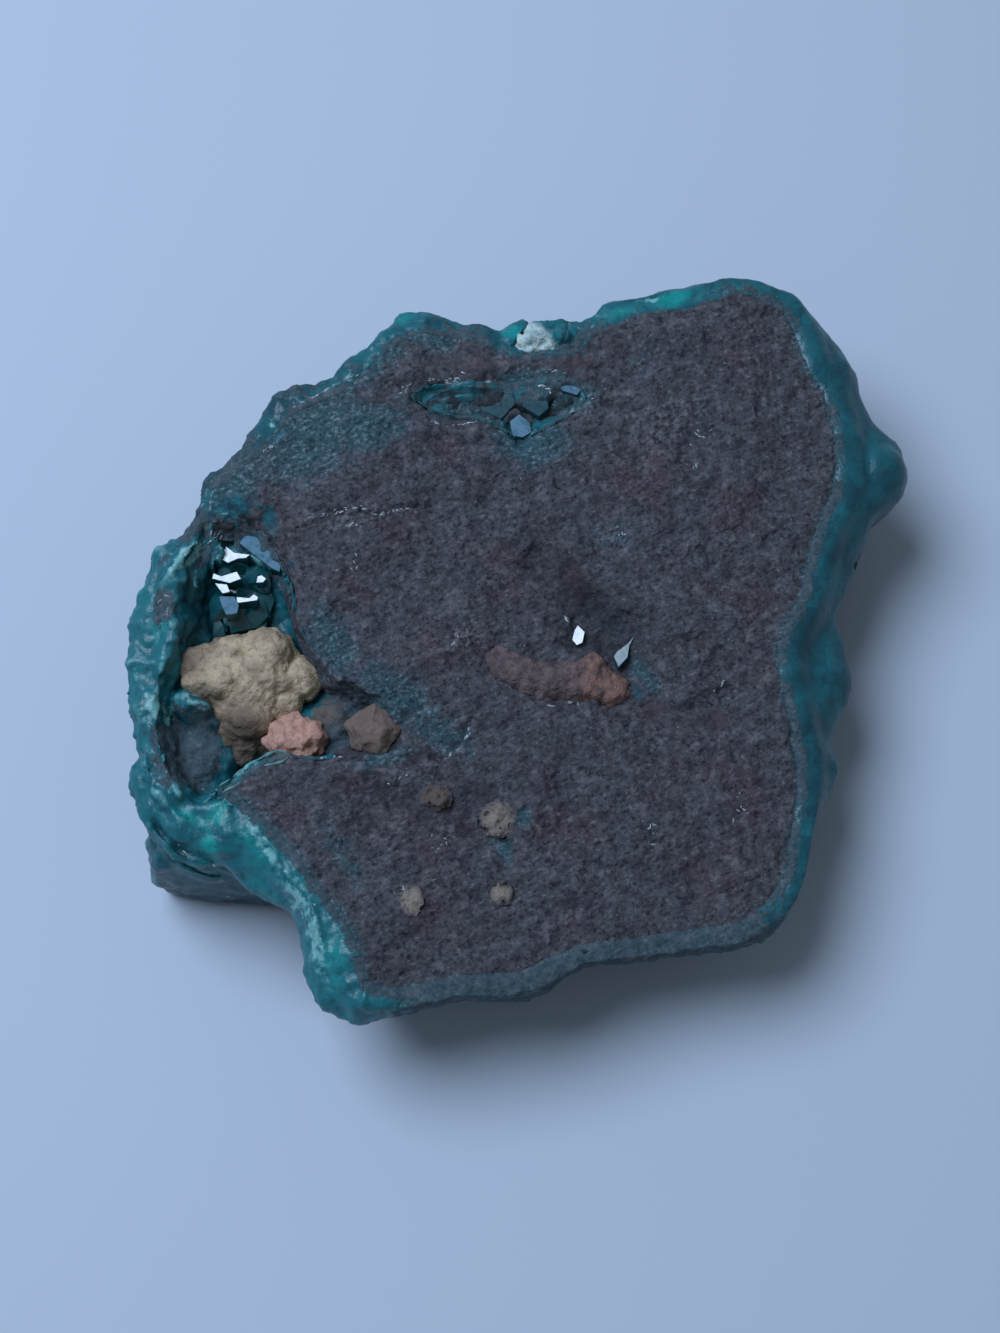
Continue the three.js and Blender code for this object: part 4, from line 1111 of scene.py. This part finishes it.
class SPECIMEN_OT_lumps(bpy.types.Operator):
    """The rough lumps in the vug and its surroundings, the knob at the back and the small grains"""

    bl_idname = "specimen.lumps"
    bl_label = "Lumps"

    def execute(self, context):
        c = colours()
        piece = lump("tan_calcite_lump", "tan_lump", 0.4, 0.12, 0.25)
        raise_domes(piece, TAN_DOMES)
        modify(piece, "SMOOTH", factor=0.5, iterations=2)
        roughen(piece, "tan_lobes", 1.0, -0.3, blocks="DISTANCE")
        roughen(piece, "tan_waves", 0.7, 0.45, detail=3)
        x, y, over = plan(points_of(piece))
        # Painted shade on the lower slope and in the grooves, with the browner left end from the patches.
        shade = np.maximum(np.clip(-over / 2.6 - 0.75, 0, 1), patches(x, y, TAN_SHADES))
        mark(piece, "shade", np.maximum(shade, 1.4 * (0.5 - crests(piece, 12, 0.25))))
        material = lump_material("knobbly_tan_calcite", c.tan, c.tan_dark, 1.6, 0.2)
        finish_piece(piece, [material], "tan_calcite", "tan_calcite_lump")

        piece = lump("pink_feldspar_grain", "pink_grain", 0.9, 0.15, 0.35)
        roughen(piece, "pink_lobes", 1.0, -0.45, blocks="MANHATTAN")
        x, _, _ = plan(points_of(piece))
        # Painted shade in the grooves, and the grain's own warmer right side.
        grooves = 1.6 * (0.5 - crests(piece, 12, 0.25))
        mark(piece, "shade", np.maximum(grooves, np.clip((x + 17.0) / 3, 0, 0.8)))
        material = lump_material("dull_pink_feldspar", c.pink, c.salmon, 0.9, 0.15)
        finish_piece(piece, [material], "pink_feldspar", "pink_feldspar_grain")

        piece = copy_of("grey_feldspar_crystal", "grey_crystal")
        swell(piece, 0.45 * MM)
        modify(piece, "REMESH", mode="VOXEL", voxel_size=FINE_VOXEL * MM)
        modify(piece, "SMOOTH", factor=0.5, iterations=4)
        roughen(piece, "grey_chips", 1.6, 0.8, detail=3)
        # Painted shade in the grooves.
        mark(piece, "shade", 2.0 * (0.5 - crests(piece, 12, 0.2)))
        material = lump_material("satin_grey_feldspar", c.grey, c.tan_dark, 1.4, 0.08)
        finish_piece(piece, [material], "grey_feldspar", "grey_feldspar_crystal")

        piece = lump("brown_vein_lump", "brown_vein", 0.5, 0.2, 0.45)
        roughen(piece, "vein_lumps", 0.9, -0.35, blocks="DISTANCE")
        x, _, _ = plan(points_of(piece))
        mark(piece, "shade", np.clip((x - 4.2) / 3, 0, 0.7))
        material = lump_material("fine_brown_vein", c.brown, c.salmon, 0.9, 0.25, c.rock_dark)
        finish_piece(piece, [material], "brown_vein", "brown_vein_lump")

        piece = lump("pale_calcite_knob", "pale_knob", 0.8, 0.25)
        roughen(piece, "knob_lobes", 1.1, -0.6, blocks="DISTANCE")
        x, y, _ = plan(points_of(piece))
        mark(piece, "shade", np.clip((x - 2.6 + 0.8 * (y - 26.5)) / 1.2, 0, 1) * 0.85)
        material = lump_material("sugary_pale_calcite", c.knob, c.crust, 0.8, 0.2)
        finish_piece(piece, [material], "pale_calcite", "pale_calcite_knob")

        material = lump_material("dull_cream_grains", c.cream, c.rock, 0.7, 0.2, c.rock)
        stained = lump_material("stained_cream_grain", c.tan_dark, c.rock, 0.7, 0.2, c.rock)
        for which in ("large", "brown", "left", "right"):
            piece = lump(f"cream_grain_{which}", f"grain_{which}", 0.6, 0.3, 0.18, FINE_VOXEL * MM)
            out = lay_flush(piece)
            roughen(piece, f"grain_{which}_flakes", 0.6, 0.25)
            mark(piece, "shade", 0.25 + 0.7 * out)
            finish = stained if which == "brown" else material
            finish_piece(piece, [finish], "cream_grain", f"cream_grain_{which}")
        return {"FINISHED"}


# Facets: outline on the plane of the face, depth under it, finish (0 like the crystals round it, 1 whitish
# with a painted reflection of the light, 2 blue with a painted reflection of the sky) and lean in degrees.
VUG_FACETS = [
    (
        [(-23.5, 8.0), (-22.8, 7.4), (-21.4, 7.1), (-21.8, 6.8), (-22.5, 6.8), (-23.3, 6.5), (-24.1, 7.0)],
        1.35, 1, 13,
    ),
    ([(-24.6, 5.2), (-24.5, 5.7), (-23.8, 5.4), (-22.5, 5.7), (-22.1, 5.0), (-23.1, 4.7)], 1.35, 1, 12),
    ([(-24.4, 4.9), (-23.3, 4.7), (-23.0, 4.0), (-23.7, 3.9)], 1.5, 1, 13),
    ([(-22.6, 3.8), (-21.5, 3.6), (-21.1, 3.9), (-20.7, 3.6), (-20.8, 3.3), (-22.5, 3.2)], 1.35, 1, 14),
    ([(-20.9, 5.5), (-20.5, 5.6), (-20.1, 5.2), (-20.4, 4.9), (-21.0, 4.9)], 1.35, 1, 9),
    (
        [(-21.6, 9.4), (-21.0, 9.4), (-19.9, 7.9), (-18.8, 6.9), (-19.0, 5.6), (-19.7, 5.9), (-22.4, 8.0)],
        1.0, 2, -14,
    ),
    ([(-24.0, 3.7), (-22.7, 3.8), (-22.3, 3.0), (-22.4, 2.2), (-23.3, 2.0), (-23.7, 2.8)], 1.4, 2, -15),
]
CREVICE_FACETS = [
    ([(-2.8, 21.9), (-0.7, 22.6), (0.0, 22.1), (0.3, 20.8), (-0.9, 19.4), (-2.6, 20.3)], 0.2, 0, 3),
    ([(0.8, 22.5), (1.9, 23.3), (2.9, 22.2), (3.1, 20.6), (2.3, 19.8), (0.9, 20.7)], 0.25, 0, -3),
    ([(4.0, 23.3), (5.1, 23.4), (6.0, 22.6), (5.5, 21.8), (4.3, 22.1), (3.6, 22.9)], 0.1, 2, -12),
    ([(-0.2, 19.3), (0.6, 20.1), (1.5, 19.4), (1.7, 18.4), (0.9, 17.8), (0.0, 17.9)], 0.1, 2, -12),
]
MIDDLE_FACETS = [
    ([(5.4, 2.1), (6.0, 1.4), (5.8, 0.5), (5.3, 0.3), (4.9, 0.8), (5.1, 1.6)], 0.35, 1, 13),
    ([(10.4, 1.9), (9.7, 0.5), (9.5, -0.6), (8.7, -1.6), (8.3, -0.6), (8.6, -0.1), (9.5, 0.7)], 0.3, 1, -14),
]


def facet(outline, depth, finish, lean):
    """A flat crystal face with its dark block under it, leaned to catch the light or to miss it."""
    bpy.ops.object.select_all(action="DESELECT")
    bpy.ops.mesh.primitive_circle_add(vertices=len(outline), radius=MM, fill_type="NGON")
    piece = bpy.context.active_object
    middle = np.mean(outline, axis=0)
    slope = math.tan(math.radians(lean))
    heading = (math.cos(math.radians(FACETS_HEADING)), math.sin(math.radians(FACETS_HEADING)))
    for vertex, (x, y) in zip(piece.data.vertices, outline):
        fall = ((x - middle[0]) * heading[0] + (y - middle[1]) * heading[1]) * slope
        vertex.co = at(x, y, face_z(*middle) - depth - fall)
    bpy.ops.object.mode_set(mode="EDIT")
    bpy.ops.mesh.select_all(action="SELECT")
    bpy.ops.mesh.extrude_region_move(TRANSFORM_OT_translate={"value": (0, 0, -FACET_BLOCK * MM)})
    bpy.ops.mesh.select_all(action="SELECT")
    bpy.ops.mesh.normals_make_consistent(inside=False)
    bpy.ops.mesh.bevel(offset=FACET_BEVEL * MM, segments=1)
    bpy.ops.object.mode_set(mode="OBJECT")
    return piece, [finish if polygon.normal.z > 0.85 else 0 for polygon in piece.data.polygons]


class SPECIMEN_OT_crystals(bpy.types.Operator):
    """The crystals in the vug, the crevice and the middle hollow"""

    bl_idname = "specimen.crystals"
    bl_label = "Crystals"

    def execute(self, context):
        c = colours()
        # The broadest faces carry a painted reflection in their colour, whitish for the light and blue for
        # the sky, on top of the real one that their lean gives; the rest is deep in colour.
        bright = crystal_material("painted_light_reflection_face", darker(c.clear, 0.75), c.mirror, 0.2)
        blue = crystal_material("painted_sky_reflection_face", c.mirror, c.crystal, 0.3)
        deep = crystal_material("deep_dioptase", c.crystal, c.crystal_dark, 0.2)
        dull = crystal_material("dull_dioptase", c.stain, c.crystal_dark, 0.6, 0.1)
        for node, name, base, slot, facets, sunk in (
            ("vug_crystals", "vug_druse", deep, "dioptase_crystal", VUG_FACETS, 0),
            ("crevice_crystals", "crevice_druse", dull, "dioptase_crystal", CREVICE_FACETS, 0.7),
            ("middle_hollow_crystals", "middle_druse", dull, "pale_crystal", MIDDLE_FACETS, 0.7),
        ):
            parts = [copy_of(node, name)]
            move_points(parts[0], points_of(parts[0]) - (0, 0, sunk * MM))
            indices = [0] * len(parts[0].data.polygons)
            for row in facets:
                part, part_indices = facet(*row)
                parts.append(part)
                indices += part_indices
            piece = join(parts, name)
            for material in (base, bright, blue):
                piece.data.materials.append(material)
            piece.data.polygons.foreach_set("material_index", indices)
            finish_piece(piece, [], slot, node, smooth=False)
        return {"FINISHED"}


class SPECIMEN_OT_curl(bpy.types.Operator):
    """The thin curled edge on the front lip of the vug"""

    bl_idname = "specimen.curl"
    bl_label = "Curled edge"

    def execute(self, context):
        ground = tree_of(bpy.data.objects["rock_slab"])
        bpy.ops.object.select_all(action="DESELECT")
        bpy.ops.curve.primitive_bezier_curve_add()
        curve = bpy.context.active_object
        curve.data.splines.clear()
        for strand in CURL:
            spline = curve.data.splines.new("POLY")
            spline.points.add(len(strand) - 1)
            for i, (point, (x, y)) in enumerate(zip(spline.points, strand)):
                low = at(x, y, face_z(x, y) - CURL_SINK)
                point.co = (low.x, low.y, max(low.z, height_at(ground, low.x, low.y) or 0), 1.0)
                point.radius = 0.6 + 0.8 * math.sin(math.pi * i / (len(strand) - 1))
        curve.data.bevel_depth = CURL_RADIUS * MM
        curve.data.bevel_resolution = 2
        curve.data.use_fill_caps = True
        bpy.ops.object.convert(target="MESH")
        piece = bpy.context.active_object
        piece.name = piece.data.name = "vug_curl"
        modify(piece, "SUBSURF", levels=2, render_levels=2)
        roughen(piece, "curl_waves", 0.7, 0.35, detail=1)
        c = colours()
        material = lump_material("thin_pale_skin", darker(c.crust_pale, 0.6), c.stain, 0.8, 0.1)
        finish_piece(piece, [material], "dioptase")
        return {"FINISHED"}


# Ledges with small clear crystals on them, as lines, and patches of loose ones.
GLINT_LINES = [
    [(-20.5, 15.3), (-19.2, 16.4)],
    [(-20.5, 15.3), (-19.2, 16.4)],
    [(-18.0, 19.6), (-15.8, 20.9), (-14.5, 21.8), (-12.6, 22.5)],
    [(-9.6, 20.8), (-9.0, 21.1), (-8.4, 21.6), (-9.2, 21.5)],
    [(-6.0, 21.9), (-5.0, 22.3), (-4.0, 22.8)],
    [(-6.9, 22.2), (-1.8, 22.5)],
    [(-7.2, 18.9), (-5.4, 18.3), (-4.4, 18.7), (-2.8, 18.9), (-1.8, 19.7)],
    [(2.4, 22.4), (3.1, 22.1), (3.8, 21.6)],
    [(4.7, 20.5), (5.8, 21.1), (7.0, 21.6)],
    [(3.2, 23.8), (4.6, 23.6)],
    [(-17.0, 9.5), (-15.4, 10.1), (-13.3, 10.6), (-11.7, 10.6)],
    [(-13.7, 9.3), (-13.0, 9.5), (-12.1, 9.2)],
    [(-11.7, 10.1), (-9.7, 10.6), (-8.4, 11.0)],
    [(-24.7, 8.0), (-23.9, 8.8)],
    [(-24.7, 8.0), (-23.9, 8.8)],
    [(-27.9, 4.9), (-26.8, 6.2), (-25.6, 7.5), (-24.2, 8.8)],
    [(-28.8, 3.0), (-27.4, 3.2)],
    [(-27.9, 2.6), (-27.8, 1.4)],
    [(-26.6, -4.6), (-25.6, -4.4)],
    [(-26.8, -16.4), (-26.0, -17.1)],
    [(-24.1, -17.8), (-22.5, -18.6), (-21.1, -20.0)],
    [(-15.8, -21.3), (-15.6, -21.5)],
    [(-3.9, -7.8), (-3.3, -6.8)],
    [(-3.9, -7.8), (-3.3, -6.8)],
    [(-5.8, -9.7), (-4.2, -8.6)],
    [(-9.1, -11.4), (-8.4, -11.1)],
    [(-9.9, -11.9), (-9.7, -11.8)],
    [(-15.4, -9.7), (-13.7, -9.4)],
    [(4.5, -4.6), (5.3, -4.6), (5.4, -4.1)],
    [(2.7, -5.0), (3.4, -5.1)],
    [(4.2, 2.7), (4.8, 2.0)],
    [(-9.0, -19.8), (-8.4, -20.4)],
    [(16.0, -3.4), (17.4, -2.6)],
    [(-4.9, -0.6), (-4.3, 1.1)],
]
GLINT_PLACES = [(8.7, 9.5), (18.0, -13.0), (11.0, -15.0), (-13.4, 6.0), (16.0, 19.0), (15.2, 15.8)]
GLINT_PLACES += [(-6.0, -16.5)]


def glint_places(chance, per_millimetre):
    """Where the small crystals lie, and which way they point: along the ledges and in loose patches."""
    places = []
    for line in GLINT_LINES:
        for (ax, ay), (bx, by) in zip(line, line[1:]):
            for _ in range(math.ceil(math.hypot(bx - ax, by - ay) * per_millimetre)):
                share = chance.random()
                x, y = ax + (bx - ax) * share, ay + (by - ay) * share
                heading = math.atan2(by - ay, bx - ax) + chance.gauss(0, 0.4)
                places.append((x + chance.gauss(0, 0.07), y + chance.gauss(0, 0.07), heading))
    for x, y in GLINT_PLACES:
        for _ in range(GLINTS_AT_A_PLACE):
            places.append((x + chance.gauss(0, 0.5), y + chance.gauss(0, 0.5), chance.uniform(0, math.pi)))
    return places


class SPECIMEN_OT_glints(bpy.types.Operator):
    """The small clear crystals along the ledges"""

    bl_idname = "specimen.glints"
    bl_label = "Glints"

    def execute(self, context):
        size = sizes()
        chance = random.Random(GLINT_SEED)
        grounds = [tree_of(bpy.data.objects[name]) for name in ("rock_slab", "crust")]
        bpy.ops.object.select_all(action="DESELECT")
        bpy.ops.mesh.primitive_cone_add(vertices=5, radius1=1, radius2=0.35, depth=1.6)
        pattern = bpy.context.active_object
        copies = []
        for x, y, heading in glint_places(chance, size.glints):
            place = at(x, y, 0)
            tops = [height_at(ground, place.x, place.y) for ground in grounds]
            tops = [top for top in tops if top is not None]
            if not tops:
                continue
            copy = pattern.copy()
            copy.data = pattern.data.copy()
            bpy.context.collection.objects.link(copy)
            copy.location = (place.x, place.y, max(tops))
            copy.rotation_euler = (chance.uniform(-0.6, 0.6), chance.uniform(-0.3, 0.3), heading)
            width = 0.5 * size.glint * chance.uniform(0.5, 1)
            copy.scale = (width * chance.uniform(2, 5.5), width, width)
            copies.append(copy)
        bpy.data.objects.remove(pattern)
        piece = join(copies, "ledge_crystals")
        bpy.ops.object.transform_apply(location=True, rotation=True, scale=True)
        c = colours()
        material = crystal_material("small_clear_crystals", darker(c.clear, 0.8), c.mirror, 0.35)
        finish_piece(piece, [material], "pale_crystal", smooth=False)
        return {"FINISHED"}


class SPECIMEN_OT_stage(bpy.types.Operator):
    """The floor, the soft studio light and the camera"""

    bl_idname = "specimen.stage"
    bl_label = "Stage"

    def execute(self, context):
        c = colours()
        bpy.ops.object.select_all(action="DESELECT")
        bpy.ops.mesh.primitive_plane_add(size=3.0, location=(0, 0, 0))
        floor = bpy.context.active_object
        floor.name = "floor"
        # Matt paper, one even tone without any shine.
        material, _, shader, _ = new_material("pale_paper", Roughness=0.95, Specular_IOR_Level=0.2)
        shader.inputs["Base Color"].default_value = rgba(c.floor)
        floor.data.materials.append(material)

        world = bpy.data.worlds.new("studio")
        bpy.context.scene.world = world
        world.use_nodes = True
        background = world.node_tree.nodes["Background"]
        background.inputs["Color"].default_value = rgba(linear(SKY_COLOUR))
        background.inputs["Strength"].default_value = SKY_STRENGTH

        bpy.ops.object.light_add(type="AREA", location=WINDOW_PLACE)
        light = bpy.context.active_object
        light.name = "window_light"
        light.data.shape = "DISK"
        light.data.size = WINDOW_SIZE
        light.data.energy = WINDOW_POWER
        light.data.color = linear(WINDOW_COLOUR)
        light.rotation_euler = (Vector((0, 0, 0.01)) - light.location).to_track_quat("-Z", "Y").to_euler()

        elevation = math.radians(CAMERA_ELEVATION)
        back = Vector((0, -math.cos(elevation), math.sin(elevation)))
        bpy.ops.object.camera_add(location=at(*CAMERA_TARGET) + back * CAMERA_DISTANCE * MM)
        camera = bpy.context.active_object
        camera.rotation_euler = (-back).to_track_quat("-Z", "Y").to_euler()
        camera.data.lens = CAMERA_LENS
        camera.data.clip_start = 0.01
        bpy.context.scene.camera = camera
        bpy.context.scene.view_settings.view_transform = "Standard"
        return {"FINISHED"}


PIECES = (
    SPECIMEN_OT_host_rock,
    SPECIMEN_OT_crust,
    SPECIMEN_OT_lumps,
    SPECIMEN_OT_crystals,
    SPECIMEN_OT_curl,
    SPECIMEN_OT_glints,
    SPECIMEN_OT_stage,
)


class SPECIMEN_PT_panel(bpy.types.Panel):
    bl_idname = "SPECIMEN_PT_panel"
    bl_label = "Dioptase specimen"
    bl_space_type = "VIEW_3D"
    bl_region_type = "UI"
    bl_category = "Specimen"

    def draw(self, context):
        for operator in PIECES:
            self.layout.operator(operator.bl_idname)
        for group in (context.scene.specimen_sizes, context.scene.specimen_colours):
            for name in group.__annotations__:
                self.layout.prop(group, name)


CLASSES = (SpecimenSizes, SpecimenColours, *PIECES, SPECIMEN_PT_panel)


def register():
    for cls in CLASSES:
        bpy.utils.register_class(cls)
    bpy.types.Scene.specimen_sizes = PointerProperty(type=SpecimenSizes)
    bpy.types.Scene.specimen_colours = PointerProperty(type=SpecimenColours)


def unregister():
    del bpy.types.Scene.specimen_colours
    del bpy.types.Scene.specimen_sizes
    for cls in reversed(CLASSES):
        bpy.utils.unregister_class(cls)


def main():
    register()
    for operator in PIECES:
        getattr(bpy.ops.specimen, operator.bl_idname.split(".")[1])()


if __name__ == "__main__":
    main()
